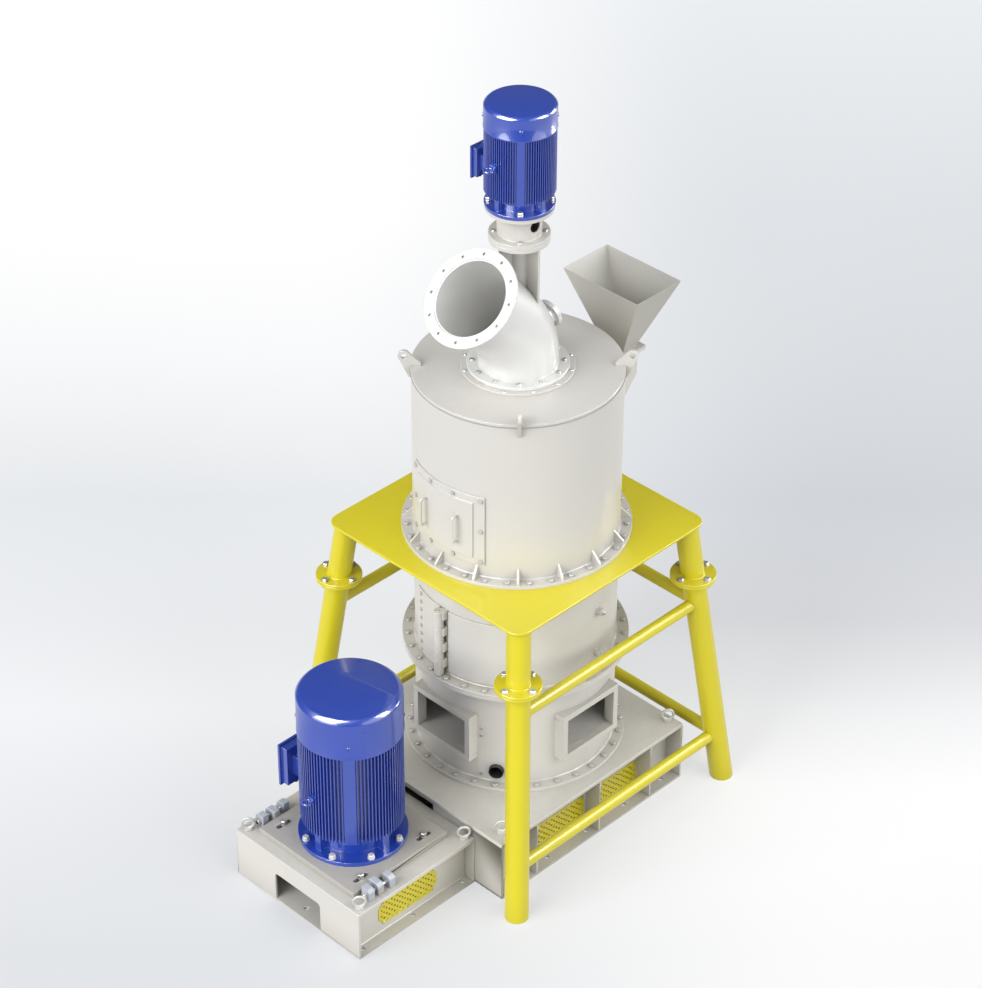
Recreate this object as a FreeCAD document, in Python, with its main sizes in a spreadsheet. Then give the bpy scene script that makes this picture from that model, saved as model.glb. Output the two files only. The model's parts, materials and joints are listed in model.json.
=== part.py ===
import FreeCAD, Part
import math
import os
from types import SimpleNamespace

import Sketcher

# Ring roller mill with a flange motor beside it and a classifier motor on top.
# Millimetres, Z up, floor at Z = 0, mill axis at X = Y = 0.
# -Y points from the mill to its main motor and +Y to the feed hopper.

SIZES = {
    # Yellow support frame
    "platform_half": 805,
    "platform_top": 1965,
    "platform_thickness": 16,
    "platform_corner_radius": 90,
    "leg_radius": 73,
    "leg_wall": 8,
    "foot_reach": 1305,
    "joint_reach": 1065,
    "joint_height": 1565,
    "joint_flange_radius": 141,
    "joint_flange_thickness": 17,
    "joint_bolt_circle": 113,
    "joint_bolt_count": 4,
    "brace_radius": 38,
    "brace_cut_reach": 152,
    "brace_wall": 5,
    "upper_brace_height": 1365,
    "lower_brace_height": 340,
    # Welded base under the mill
    "base_half_width": 760,
    "base_front": 885,
    "base_back": 720,
    "base_height": 430,
    "base_top_plate": 25,
    "base_bottom_plate": 16,
    "base_wall": 14,
    "base_web_inset": 118,
    "near_rib": 585,
    "middle_rib": 35,
    "far_rib": 425,
    "belt_opening_half": 290,
    "belt_opening_bottom": 60,
    "belt_opening_top": 395,
    "belt_slot_half": 175,
    "anchor_radius": 14,
    "base_anchor_half": 700,
    "base_anchor_front": 430,
    "base_anchor_back": 600,
    "base_anchor_rows": 4,
    # Welded base under the main motor
    "motor_base_half": 534,
    "motor_base_front": 1840,
    "motor_base_height": 350,
    "motor_base_top_plate": 20,
    "motor_base_inset": 74,
    "pulley_well_half": 200,
    "window_half": 195,
    "window_height": 200,
    "window_corner": 25,
    "motor_anchor_half": 490,
    "motor_anchor_inset": 65,
    # Belt guards in the webs of both bases
    "guard_thickness": 4,
    "guard_lap": 25,
    "guard_bottom": 68,
    "guard_height": 178,
    "guard_half_length": 239,
    "mill_guard_corner": 15,
    "motor_guard_corner": 60,
    "guard_rib_gap": 80,
    # Motor slide plate with its jack screws
    "motor_distance": 1378,
    "slide_half_x": 410,
    "slide_half_y": 385,
    "slide_thickness": 40,
    "slide_bore": 200,
    "slide_travel": 30,
    "slot_x": 335,
    "slot_y": 257,
    "slot_radius": 14,
    "slot_half": 40,
    "slide_bolt_radius": 12,
    "slide_washer_radius": 20,
    "slide_washer": 4,
    "rest_gap": 0.3,
    "jack_x": 462,
    "jack_height": 34,
    "jack_screw_radius": 12,
    "jack_lug_thickness": 44,
    "jack_lug_half": 34,
    "jack_lug_rise": 48,
    "jack_lug_corner": 20,
    "jack_front": 338,
    "jack_spacing": 166,
    "jack_ear": 75,
    "jack_screw_end": 6,
    # Main flange motor
    "main_flange_radius": 330,
    "main_flange_thickness": 28,
    "main_bolt_circle": 300,
    "main_bolt_count": 8,
    "main_shield_radius": 235,
    "main_shield_height": 155,
    "main_strut_width": 48,
    "main_core_radius": 286,
    "main_fin_tip": 312,
    "main_fin_thickness": 8,
    "main_body_height": 649,
    "main_rail_width": 74,
    "main_cowl_radius": 317,
    "main_cowl_height": 278,
    "main_cowl_edge": 26,
    "main_rotor_radius": 170,
    "main_shaft_radius": 40,
    "main_shaft_length": 175,
    "main_box_reach": 470,
    "main_box_width": 330,
    "main_box_height": 305,
    "main_box_level": 175,
    "main_eye_level": 435,
    # Classifier motor on top
    "top_flange_radius": 200,
    "top_flange_thickness": 22,
    "top_bolt_circle": 175,
    "top_bolt_count": 4,
    "top_shield_radius": 140,
    "top_shield_height": 95,
    "top_strut_width": 30,
    "top_core_radius": 184,
    "top_fin_tip": 202,
    "top_fin_thickness": 6,
    "top_body_height": 396,
    "top_rail_width": 46,
    "top_cowl_radius": 207,
    "top_cowl_height": 146,
    "top_cowl_edge": 14,
    "top_rotor_radius": 110,
    "top_shaft_radius": 27.5,
    "top_shaft_length": 110,
    "top_box_reach": 305,
    "top_box_width": 170,
    "top_box_height": 200,
    "top_box_level": 74,
    "top_eye_level": 302,
    # Both motors
    "fin_count": 88,
    "fan_blades": 6,
    "cowl_wall": 4,
    "running_gap": 0.05,
    "rotor_gap": 2,
    # Belt drive
    "belt_count": 4,
    "belt_spacing": 25.5,
    "belt_top_width": 21,
    "belt_bottom_width": 13,
    "belt_depth": 18,
    "groove_gap": 0.6,
    "rim_edge": 8,
    "rim_depth": 60,
    "pulley_web": 34,
    "pulley_bottom": 205,
    "mill_pulley_radius": 480,
    "mill_hub_radius": 100,
    "motor_pulley_radius": 120,
    # Main shaft in its bearing housing
    "pulley_seat_radius": 55,
    "bearing_seat_radius": 70,
    "cage_seat_radius": 60,
    "shaft_tail": 20,
    "housing_bottom": 350,
    "housing_top": 900,
    "housing_radius": 180,
    "housing_flange_radius": 300,
    "housing_flange": 25,
    "housing_gap": 5,
    "bearing_outer_radius": 125,
    "bearing_width": 60,
    "housing_waist_radius": 105,
    # Lower casing with its two air inlets
    "casing_bore": 602,
    "casing_wall": 10,
    "lower_flange_radius": 682,
    "lower_flange": 22,
    "middle_flange_radius": 689,
    "middle_flange": 20,
    "middle_joint": 1152,
    "port_face": 640,
    "port_half": 200,
    "port_bottom": 655,
    "port_height": 260,
    "port_border": 38,
    "duct_floor": 15,
    "duct_wall_radius": 340,
    "duct_wall": 10,
    "duct_height": 440,
    "duct_cap_bore": 80,
    "sleeve_angle": -56,
    "sleeve_level": 539,
    "sleeve_radius": 45,
    "sleeve_wall": 7,
    "sleeve_depth": 170,
    "wall_sector": 22.5,
    "flange_sector": 45,
    # Middle casing with its hinged door
    "platform_flange_radius": 686,
    "platform_flange": 20,
    "ring_ledge_bore": 560,
    "ring_ledge": 28,
    "door_start": 4,
    "door_end": 48,
    "door_bottom": 1195,
    "door_top": 1640,
    "door_lap": 22,
    "door_thickness": 10,
    "door_bolt_count": 4,
    "seat_gap": 0.3,
    "hinge_reach": 652,
    "hinge_bottom": 1176,
    "knuckle_count": 8,
    "knuckle_length": 59,
    "knuckle_radius": 30,
    "knuckle_strap": 40,
    "hinge_pin_radius": 9,
    "leaf_end": 25,
    "leaf_bolt_angle": 20.5,
    "leaf_bolt_across": 19,
    "leaf_bolt_head": 8,
    "plug_angle": 6.5,
    "plug_radius": 24,
    "plug_reach": 38,
    "plug_low": 1278,
    "plug_high": 1586,
    # Grinding rings and the roller cage
    "layer_height": 200,
    "grinding_bore": 500,
    "grinding_shoulder": 560,
    "grinding_step": 10,
    "cage_plate_radius": 425,
    "cage_plate": 30,
    "cage_hub_radius": 95,
    "cage_pin_circle": 340,
    "cage_pin_radius": 40,
    "roller_gap": 0.3,
    "roller_end_gap": 0.5,
    "cage_nut_radius": 90,
    "cage_nut": 35,
    # Upper casing with its access cover
    "upper_wall": 14,
    "upper_flange": 22,
    "upper_top": 1081,
    "gusset_count": 16,
    "gusset_height": 78,
    "gusset_reach": 62,
    "gusset_thickness": 14,
    "access_half_angle": 27,
    "access_panel_half_angle": 20.5,
    "access_bottom": 107,
    "access_top": 580,
    "access_border": 46,
    "access_thickness": 10,
    "access_panel": 8,
    "access_opening_inset": 24,
    "handle_angle": 11,
    "handle_bottom": 240,
    "handle_length": 180,
    "handle_reach": 52,
    "handle_radius": 8,
    # Flange bolts
    "flange_bolt_count": 32,
    "bolt_inset": 30,
    "bolt_across": 36,
    "bolt_head": 15,
    "flange_bolt_across": 32,
    "flange_bolt_head": 15,
    "motor_bolt_head": 26,
    "small_motor_bolt_across": 30,
    "small_motor_bolt_head": 20,
    "small_bolt_across": 24,
    "small_bolt_head": 10,
    # Top cover and what stands on it
    "cover_radius": 620,
    "cover_thickness": 20,
    "lug_hole_reach": 655,
    "lug_hole_height": 64,
    "lug_hole_radius": 17,
    "lug_head_radius": 36,
    "lug_thickness": 20,
    "lug_foot": 62,
    "lug_drop": 78,
    "lug_lean": 30,
    "lug_heel": 12,
    "outlet_bore": 224,
    "outlet_wall": 10,
    "outlet_flange_radius": 298,
    "outlet_flange": 20,
    "outlet_bolt_circle": 264,
    "outlet_hole_radius": 9,
    "outlet_hole_count": 12,
    "outlet_recess": 8,
    "outlet_ring_radius": 332,
    "branch_root": 60,
    "outlet_ring": 14,
    "elbow_crown": 1328,
    "elbow_reach": 554,
    "elbow_bend": 400,
    "elbow_angle": 45,
    "heel_angle": 15,
    "heel_radius": 60,
    "heel_wall": 8,
    "heel_reach": 46,
    "heel_flange_radius": 86,
    "heel_flange": 12,
    # Classifier stand, lantern and wheel
    "stand_top": 1965,
    "stand_bottom": 995,
    "stand_radius": 65,
    "stand_bore": 53,
    "stand_flange_radius": 175,
    "stand_flange": 25,
    "stand_bolt_circle": 145,
    "stand_bolt_count": 4,
    "stand_rib_reach": 155,
    "stand_rib": 16,
    "stand_rib_foot": 1435,
    "lantern_top": 2166,
    "lantern_radius": 128,
    "lantern_wall": 10,
    "lantern_top_radius": 196,
    "lantern_window_half": 38,
    "lantern_window_level": 2069,
    "classifier_shaft_radius": 30,
    "classifier_shaft_top": 2045,
    "classifier_bearing_width": 40,
    "classifier_collar_radius": 45,
    "classifier_collar": 14,
    "coupling_radius": 62,
    "coupling_low": 2010,
    "coupling_high": 2120,
    "coupling_groove": 8,
    "wheel_bottom": 775,
    "wheel_top": 1067,
    "wheel_radius": 330,
    "wheel_plate": 15,
    "wheel_bore": 240,
    "wheel_hub_radius": 60,
    "wheel_hub_height": 100,
    "blade_count": 24,
    "blade_depth": 45,
    "blade_thickness": 6,
    # Feed hopper and chute
    "hopper_centre": 868,
    "hopper_top": 1335,
    "hopper_bottom": 855,
    "hopper_mouth_x": 295,
    "hopper_mouth_y": 190,
    "hopper_throat_x": 80,
    "hopper_throat_y": 60,
    "sheet_wall": 4,
    "throat_flange": 16,
    "throat_flange_lip": 38,
    "chute_wall": 6,
    "chute_knee": 655,
    "chute_drop": 424,
    "chute_reach": 24,
    # Lifting eyes of the two bases
    "eye_radius": 32,
    "eye_hole": 19,
    "eye_turn": -40,
    "eye_collar_radius": 22,
    "eye_collar": 12,
    "base_eye_radius": 44,
    "base_eye_hole": 27,
    "base_eye_collar_radius": 27,
    "base_eye_x": 672,
    "base_eye_front": 800,
    "base_eye_back": 675,
    "motor_eye_x": 486,
    "motor_eye_front": 1787,
    "motor_eye_back": 930,
}

# Sizes in the table that are heights above the platform's top face
ABOVE_PLATFORM = [
    "upper_top",
    "access_bottom",
    "access_top",
    "handle_bottom",
    "elbow_crown",
    "stand_top",
    "stand_bottom",
    "stand_rib_foot",
    "lantern_top",
    "lantern_window_level",
    "classifier_shaft_top",
    "coupling_low",
    "coupling_high",
    "wheel_bottom",
    "wheel_top",
    "hopper_top",
    "hopper_bottom",
    "chute_knee",
]

doc = FreeCAD.newDocument("ring_roller_mill")
sheet = doc.addObject("Spreadsheet::Sheet", "Sizes")
for row, (name, value) in enumerate(SIZES.items(), start=1):
    sheet.set(f"A{row}", name)
    sheet.set(f"B{row}", str(value))
    sheet.setAlias(f"B{row}", name)
doc.recompute()


class Size:
    """A number together with the sheet expression that gives it."""

    def __init__(self, value, text):
        self.value = value
        self.text = text

    def __float__(self):
        return float(self.value)

    def __add__(self, other):
        other = sized(other)
        return Size(self.value + other.value, f"({self.text} + {other.text})")

    def __sub__(self, other):
        other = sized(other)
        return Size(self.value - other.value, f"({self.text} - {other.text})")

    def __mul__(self, other):
        other = sized(other)
        return Size(self.value * other.value, f"({self.text} * {other.text})")

    def __truediv__(self, other):
        other = sized(other)
        return Size(self.value / other.value, f"({self.text} / {other.text})")

    def __neg__(self):
        return Size(-self.value, f"(-{self.text})")

    def __radd__(self, other):
        return sized(other) + self

    def __rsub__(self, other):
        return sized(other) - self

    def __rmul__(self, other):
        return sized(other) * self


def sized(number):
    """A plain number as a Size, and a Size as it is."""
    if isinstance(number, Size):
        return number
    return Size(float(number), f"({float(number):g})")


s = SimpleNamespace(**{name: Size(float(sheet.get(name)), f"Sizes.{name}") for name in SIZES})
n = SimpleNamespace(**{name: float(sheet.get(name)) for name in SIZES})
for name in ABOVE_PLATFORM:
    level = getattr(s, name) + s.platform_top
    setattr(s, name, level)
    setattr(n, name, float(level))
vec = FreeCAD.Vector
UP = vec(0, 0, 1)
nodes = {}


# Small makers that every sub-part shares


def bind(thing, prop, size):
    thing.setExpression(prop, sized(size).text)


def place(thing, x=0, y=0, z=0):
    for axis, size in zip("xyz", (x, y, z)):
        bind(thing, f"Placement.Base.{axis}", size)
    return thing


def box(name, x, y, z):
    """A block between pairs of low and high coordinates."""
    block = doc.addObject("Part::Box", name)
    for prop, (low, high) in zip(("Length", "Width", "Height"), (x, y, z)):
        bind(block, prop, high - low)
    return place(block, x[0], y[0], z[0])


def rod(name, radius, z, x=0, y=0):
    """An upright cylinder between a pair of heights."""
    cylinder = doc.addObject("Part::Cylinder", name)
    bind(cylinder, "Radius", radius)
    bind(cylinder, "Height", z[1] - z[0])
    return place(cylinder, x, y, z[0])


def joined(name, pieces):
    union = doc.addObject("Part::MultiFuse", name)
    union.Shapes = pieces
    union.Refine = True
    return union


def less(name, base, tools):
    """The base with every tool cut out of it."""
    cut = doc.addObject("Part::Cut", name)
    cut.Base = base
    cut.Tool = tools[0] if len(tools) == 1 else joined(name + "_tools", tools)
    cut.Refine = True
    return cut


def rounded(name, base, radius, chosen):
    """The base with a fillet on each edge for which chosen(edge) holds."""
    doc.recompute()
    fillet = doc.addObject("Part::Fillet", name)
    fillet.Base = base
    fillet.Edges = [
        (number, float(radius), float(radius))
        for number, edge in enumerate(base.Shape.Edges, start=1)
        if chosen(edge)
    ]
    return fillet


def feature(name, shape):
    """A piece whose form is worked out here from the sheet's values."""
    thing = doc.addObject("Part::Feature", name)
    thing.Shape = shape
    thing.Placement = FreeCAD.Placement()
    return thing


def group(name, shapes):
    return feature(name, Part.makeCompound(shapes))


def node(name, thing):
    """Names a finished sub-part, whose file takes the same name."""
    thing.Label = name
    nodes[name] = thing
    return thing


def plane_of(body, role):
    return next(plane for plane in body.Origin.OriginFeatures if plane.Role == role)


def outline_sketch(body, name, role, corners):
    """A closed outline of straight edges, each corner held by its two coordinates."""
    sketch = body.newObject("Sketcher::SketchObject", name)
    sketch.AttachmentSupport = [(plane_of(body, role), "")]
    sketch.MapMode = "FlatFace"
    points = [vec(float(across), float(along), 0) for across, along in corners]
    count = len(points)
    for index in range(count):
        sketch.addGeometry(Part.LineSegment(points[index], points[(index + 1) % count]))
    for index in range(count):
        sketch.addConstraint(Sketcher.Constraint("Coincident", index, 2, (index + 1) % count, 1))
    for index, corner in enumerate(corners):
        for kind, axis, size in (("DistanceX", -2, corner[0]), ("DistanceY", -1, corner[1])):
            if float(size) == 0:
                sketch.addConstraint(Sketcher.Constraint("PointOnObject", index, 1, axis))
            else:
                held = sketch.addConstraint(Sketcher.Constraint(kind, -1, 1, index, 1, float(size)))
                bind(sketch, f"Constraints[{held}]", size)
    return sketch


def turned(name, corners):
    """A turned piece: the outline of radius and height corners spun about the upright axis."""
    body = doc.addObject("PartDesign::Body", name)
    sketch = outline_sketch(body, name + "_outline", "XZ_Plane", corners)
    turn = body.newObject("PartDesign::Revolution", name + "_turn")
    turn.Profile = sketch
    turn.ReferenceAxis = (sketch, ["V_Axis"])
    turn.Angle = 360
    return body


def pad_pattern(body, name, corners, level, height, count):
    """Upright bars of one section set round the axis of a body."""
    sketch = outline_sketch(body, name + "_section", "XY_Plane", corners)
    bind(sketch, "AttachmentOffset.Base.z", level)
    pad = body.newObject("PartDesign::Pad", name + "_pad")
    pad.Profile = sketch
    bind(pad, "Length", height)
    doc.recompute()
    pattern = body.newObject("PartDesign::PolarPattern", name + "_pattern")
    pattern.Originals = [pad]
    pattern.Axis = (sketch, ["N_Axis"])
    pattern.Angle = 360
    bind(pattern, "Occurrences", count)
    body.Tip = pattern
    doc.recompute()


def polar(radius, degrees, height=0.0):
    angle = math.radians(degrees)
    return vec(radius * math.cos(angle), radius * math.sin(angle), height)


def prism(points, direction):
    """The straight solid on a closed outline of points."""
    return Part.Face(Part.makePolygon(points + points[:1])).extrude(direction)


def hexagon(centre, direction, across, height):
    """A hexagon head or nut that stands on a point along a direction."""
    corners = [polar(across / math.sqrt(3), 60 * turn) for turn in range(6)]
    solid = prism(corners, UP * height)
    solid.Placement = FreeCAD.Placement(centre, FreeCAD.Rotation(UP, direction))
    return solid


def head_ring(radius, level, count, first, across, height, centre=vec(0, 0, 0)):
    """Hexagon heads on a bolt circle, the first at an angle in degrees."""
    step = 360 / count
    places = [centre + polar(radius, first + step * turn, level) for turn in range(int(count))]
    return [hexagon(point, UP, across, height) for point in places]


def shell_sector(inner, outer, first, last, low, high):
    """A curved plate between two radii, two angles in degrees and two heights."""
    points = [polar(inner, first, low), polar(outer, first, low)]
    points += [polar(outer, last, low), polar(inner, last, low)]
    middle = (first + last) / 2
    edges = [
        Part.makeLine(points[0], points[1]),
        Part.Arc(points[1], polar(outer, middle, low), points[2]).toShape(),
        Part.makeLine(points[2], points[3]),
        Part.Arc(points[3], polar(inner, middle, low), points[0]).toShape(),
    ]
    return Part.Face(Part.Wire(edges)).extrude(UP * (high - low))


# Support frame


CORNERS = {"front": (1, -1), "right": (1, 1), "back": (-1, 1), "left": (-1, -1)}


def leg_point(corner, height):
    """A point on the slanted leg's axis at a height."""
    slope = (n.foot_reach - n.joint_reach) / n.joint_height
    reach = (n.joint_reach + slope * (n.joint_height - height)) / math.sqrt(2)
    return vec(corner[0] * reach, corner[1] * reach, height)


def leg_rod(corner, radius, low, high):
    """A slanted rod cut level at both ends."""
    spare = 2 * n.leg_radius
    start = leg_point(corner, low - spare)
    line = leg_point(corner, high + spare) - start
    slab_half = n.foot_reach + spare
    slab = Part.makeBox(2 * slab_half, 2 * slab_half, high - low, vec(-slab_half, -slab_half, low))
    return Part.makeCylinder(radius, line.Length, start, line).common(slab)


def leg_tube(corner, low, high):
    inner = n.leg_radius - n.leg_wall
    return leg_rod(corner, n.leg_radius, low, high).cut(leg_rod(corner, inner, low, high))


def joint_flange(corner, level):
    centre = leg_point(corner, n.joint_height)
    return Part.makeCylinder(
        n.joint_flange_radius, n.joint_flange_thickness, vec(centre.x, centre.y, level)
    )


def platform_plate():
    half = (-s.platform_half, s.platform_half)
    underside = s.platform_top - s.platform_thickness
    blank = box("platform_blank", half, half, (underside, s.platform_top))
    plate = rounded(
        "platform_rounded",
        blank,
        n.platform_corner_radius,
        lambda edge: abs(edge.tangentAt(edge.FirstParameter).z) > 0.9,
    )
    hole = rod("platform_hole", s.casing_bore, (underside - 1, s.platform_top + 1))
    node("platform_plate", less("platform", plate, [hole]))


def legs():
    low_face = n.joint_height - n.joint_flange_thickness
    high_face = n.joint_height + n.joint_flange_thickness
    underside = n.platform_top - n.platform_thickness
    lower = []
    stubs = []
    for corner in CORNERS.values():
        lower.append(leg_tube(corner, 0, low_face).fuse(joint_flange(corner, low_face)))
        stubs.append(leg_tube(corner, high_face, underside).fuse(joint_flange(corner, n.joint_height)))
    node("lower_legs", group("lower_leg_group", [leg.removeSplitter() for leg in lower]))
    node("leg_stubs", group("leg_stub_group", [stub.removeSplitter() for stub in stubs]))


def leg_braces():
    """Level pipes between the legs on every side except the motor's."""
    inner = n.brace_radius - n.brace_wall
    sides = (("front", "right"), ("right", "back"), ("back", "left"))
    braces = []
    for level in (n.lower_brace_height, n.upper_brace_height):
        for first, last in sides:
            ends = (CORNERS[first], CORNERS[last])
            start = leg_point(ends[0], level)
            line = leg_point(ends[1], level) - start
            pipe = Part.makeCylinder(n.brace_radius, line.Length, start, line)
            pipe = pipe.cut(Part.makeCylinder(inner, line.Length, start, line))
            for corner in ends:
                span = (level - n.brace_cut_reach, level + n.brace_cut_reach)
                pipe = pipe.cut(leg_rod(corner, n.leg_radius, *span))
            braces.append(max(pipe.Solids, key=lambda solid: solid.Volume))
    node("leg_braces", group("leg_brace_group", braces))


def leg_joint_bolts():
    """Four heads on top and four nuts below at every leg joint."""
    below = n.joint_height - n.joint_flange_thickness - n.bolt_head
    above = n.joint_height + n.joint_flange_thickness
    heads = []
    circle = n.joint_bolt_circle
    count = n.joint_bolt_count
    for corner in CORNERS.values():
        centre = leg_point(corner, n.joint_height)
        centre.z = 0
        for level in (below, above):
            heads += head_ring(circle, level, count, 0, n.bolt_across, n.bolt_head, centre)
    node("leg_joint_bolts", group("leg_joint_bolt_group", heads))


# Welded bases


def base_plates(name, half, front, back, height, top, inset):
    """Plates of an open-sided welded base, by their places in it."""
    wide = (-half, half)
    between = (s.base_bottom_plate, height - top)
    inside = (front + s.base_wall, back - s.base_wall)
    web = half - inset
    return {
        "bottom": box(name + "_bottom", wide, (front, back), (sized(0), s.base_bottom_plate)),
        "top": box(name + "_top", wide, (front, back), (height - top, height)),
        "front": box(name + "_front", wide, (front, inside[0]), between),
        "back": box(name + "_back", wide, (inside[1], back), between),
        "left": box(name + "_left_web", (-web, s.base_wall - web), inside, between),
        "right": box(name + "_right_web", (web - s.base_wall, web), inside, between),
    }


def base_ribs():
    """Plates that stand in the side bays of the mill's base."""
    half = s.base_half_width
    web = half - s.base_web_inset
    between = (s.base_bottom_plate, s.base_height - s.base_top_plate)
    ribs = []
    for number, rib in enumerate((-s.near_rib, -s.middle_rib, s.far_rib)):
        span = (rib, rib + s.base_wall)
        ribs.append(box(f"mill_base_left_rib_{number}", (-half, -web), span, between))
        ribs.append(box(f"mill_base_right_rib_{number}", (web, half), span, between))
    return ribs


def plate_set(name, plates, cuts, others=()):
    """One node of plates that touch along their welds, each with its own openings."""
    finished = [
        less(f"{name}_{place_name}_cut", plate, cuts[place_name]) if place_name in cuts else plate
        for place_name, plate in plates.items()
    ]
    doc.recompute()
    node(name, group(name + "_plates", [plate.Shape for plate in (*finished, *others)]))


def anchor_drills(name, half, rows):
    drills = []
    for row, y in enumerate(rows):
        for side, x in (("left", -half), ("right", half)):
            hole = (sized(-1), s.base_bottom_plate + 1)
            drills.append(rod(f"{name}_anchor_{side}_{row}", s.anchor_radius, hole, x, y))
    return drills


def guard_windows(name, web, spans):
    """Openings in both webs behind the guards, left and right."""
    rise = (s.guard_bottom + s.guard_lap, s.guard_bottom + s.guard_height - s.guard_lap)
    sides = {"left": (-web - 1, s.base_wall - web + 1), "right": (web - s.base_wall - 1, web + 1)}
    cuts = {"left": [], "right": []}
    for number, (start, end) in enumerate(spans):
        span = (start + s.guard_lap, end - s.guard_lap)
        for side, wide in sides.items():
            cuts[side].append(box(f"{name}_{side}_window_{number}", wide, span, rise))
    return cuts


def main_guard_spans():
    """The two stretches between ribs that have a guard, as pairs of Y."""
    first = (-s.near_rib + s.base_wall + s.guard_rib_gap, -s.middle_rib - s.base_wall)
    second = (-s.middle_rib + s.base_wall + s.guard_rib_gap, s.far_rib)
    return [first, second]


def motor_guard_span():
    return (-s.motor_distance - s.guard_half_length, -s.motor_distance + s.guard_half_length)


def main_base():
    plates = base_plates(
        "mill_base",
        s.base_half_width,
        -s.base_front,
        s.base_back,
        s.base_height,
        s.base_top_plate,
        s.base_web_inset,
    )
    top = (s.base_height - s.base_top_plate - 1, s.base_height + 1)
    belt_half = (-s.belt_opening_half, s.belt_opening_half)
    belt_wall = (-s.base_front - 1, -s.base_front + s.base_wall + 1)
    door_top = s.motor_base_height - s.motor_base_top_plate
    slot_half = (-s.belt_slot_half, s.belt_slot_half)
    pitch = (n.base_anchor_back + n.base_anchor_front) / (n.base_anchor_rows - 1)
    rows = [pitch * step - n.base_anchor_front for step in range(int(n.base_anchor_rows))]
    cuts = guard_windows("mill", s.base_half_width - s.base_web_inset, main_guard_spans())
    cuts["top"] = [rod("housing_hole", s.housing_radius + s.housing_gap, top)]
    cuts["front"] = [
        box("belt_opening", belt_half, belt_wall, (s.belt_opening_bottom, door_top)),
        box("belt_slot", slot_half, belt_wall, (door_top - 1, s.belt_opening_top)),
    ]
    cuts["bottom"] = anchor_drills("mill", s.base_anchor_half, rows)
    plate_set("main_base", plates, cuts, base_ribs())


def motor_base():
    plates = base_plates(
        "drive_base",
        s.motor_base_half,
        -s.motor_base_front,
        -s.base_front,
        s.motor_base_height,
        s.motor_base_top_plate,
        s.motor_base_inset,
    )
    underside = s.motor_base_height - s.motor_base_top_plate
    belt_half = (-s.belt_opening_half, s.belt_opening_half)
    belt_wall = (-s.base_front - s.base_wall - 1, -s.base_front + 1)
    well = (-s.pulley_well_half, s.pulley_well_half)
    well_y = (well[0] - s.motor_distance, well[1] + s.slide_travel - s.motor_distance)
    front_wall = (-s.motor_base_front - 1, -s.motor_base_front + s.base_wall + 1)
    rise = (s.base_bottom_plate, s.base_bottom_plate + s.window_height)
    window = box("front_window_block", (-s.window_half, s.window_half), front_wall, rise)
    rows = (
        -s.motor_base_front + s.motor_anchor_inset,
        -(s.motor_base_front + s.base_front) / 2,
        -s.base_front - s.motor_anchor_inset,
    )
    window_hole = (sized(-1), s.base_bottom_plate + 1)
    window_anchor = rod("drive_window_anchor", s.anchor_radius, window_hole, 0, rows[0])
    cuts = guard_windows("drive", s.motor_base_half - s.motor_base_inset, [motor_guard_span()])
    cuts["front"] = [rounded("front_window", window, n.window_corner, is_top_lengthwise)]
    cuts["back"] = [box("drive_belt_opening", belt_half, belt_wall, (s.belt_opening_bottom, underside + 1))]
    cuts["top"] = [box("pulley_well", well, well_y, (underside - 1, s.motor_base_height + 1))]
    cuts["bottom"] = anchor_drills("drive", s.motor_anchor_half, rows) + [window_anchor]
    plate_set("motor_base", plates, cuts)


def is_top_lengthwise(edge):
    """Whether an edge of the window block runs along Y at its top."""
    middle = edge.CenterOfMass
    along = abs(edge.tangentAt(edge.FirstParameter).y) > 0.9
    return along and middle.z > n.base_bottom_plate + n.window_height / 2


def belt_guards():
    """Yellow panels over the windows of the webs, on both sides of both bases."""
    top = s.guard_bottom + s.guard_height
    spans = [(s.base_half_width - s.base_web_inset, span) for span in main_guard_spans()]
    spans.append((s.motor_base_half - s.motor_base_inset, motor_guard_span()))
    corners = (n.mill_guard_corner, n.mill_guard_corner, n.motor_guard_corner)
    panels = []
    for number, ((web, span), corner) in enumerate(zip(spans, corners)):
        for side, (low, high) in (
            ("left", (-web - s.guard_thickness, -web)),
            ("right", (web, web + s.guard_thickness)),
        ):
            panel = box(f"guard_{side}_{number}", (low, high), span, (s.guard_bottom, top))
            panels.append(rounded(f"guard_{side}_{number}_round", panel, corner, runs_along_x))
    doc.recompute()
    node("belt_guards", group("guard_group", [panel.Shape for panel in panels]))


def runs_along_x(edge):
    return abs(edge.tangentAt(edge.FirstParameter).x) > 0.9


def lifting_eye(point, axis):
    """A collar with a round ring standing on it, whose hole looks along an axis."""
    collar = Part.makeCylinder(n.base_eye_collar_radius, n.eye_collar, point)
    wire = (n.base_eye_radius - n.base_eye_hole) / 2
    middle = point + UP * (n.eye_collar + n.base_eye_radius - wire)
    ring = Part.makeTorus(n.base_eye_radius - wire, wire, middle, axis)
    return collar.fuse(ring).removeSplitter()


def eye_bolts():
    axis = polar(1, n.eye_turn)
    eyes = []
    for side in (-1, 1):
        for y in (-n.base_eye_front, n.base_eye_back):
            eyes.append(lifting_eye(vec(side * n.base_eye_x, y, n.base_height), axis))
        for y in (-n.motor_eye_front, -n.motor_eye_back):
            eyes.append(lifting_eye(vec(side * n.motor_eye_x, y, n.motor_base_height), axis))
    node("eye_bolts", group("eye_bolt_group", eyes))


# Motor slide


def slide_level():
    return s.motor_base_height + s.slide_thickness


def jack_rows():
    """Y of the fixed lugs that stand at each end of a jack screw."""
    front = -n.motor_distance - n.jack_front
    return (front, front + n.jack_spacing)


def ear_row():
    """Y of the slide plate's ear, which stands between the two fixed lugs."""
    return -n.motor_distance - n.jack_front + n.jack_ear


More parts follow.
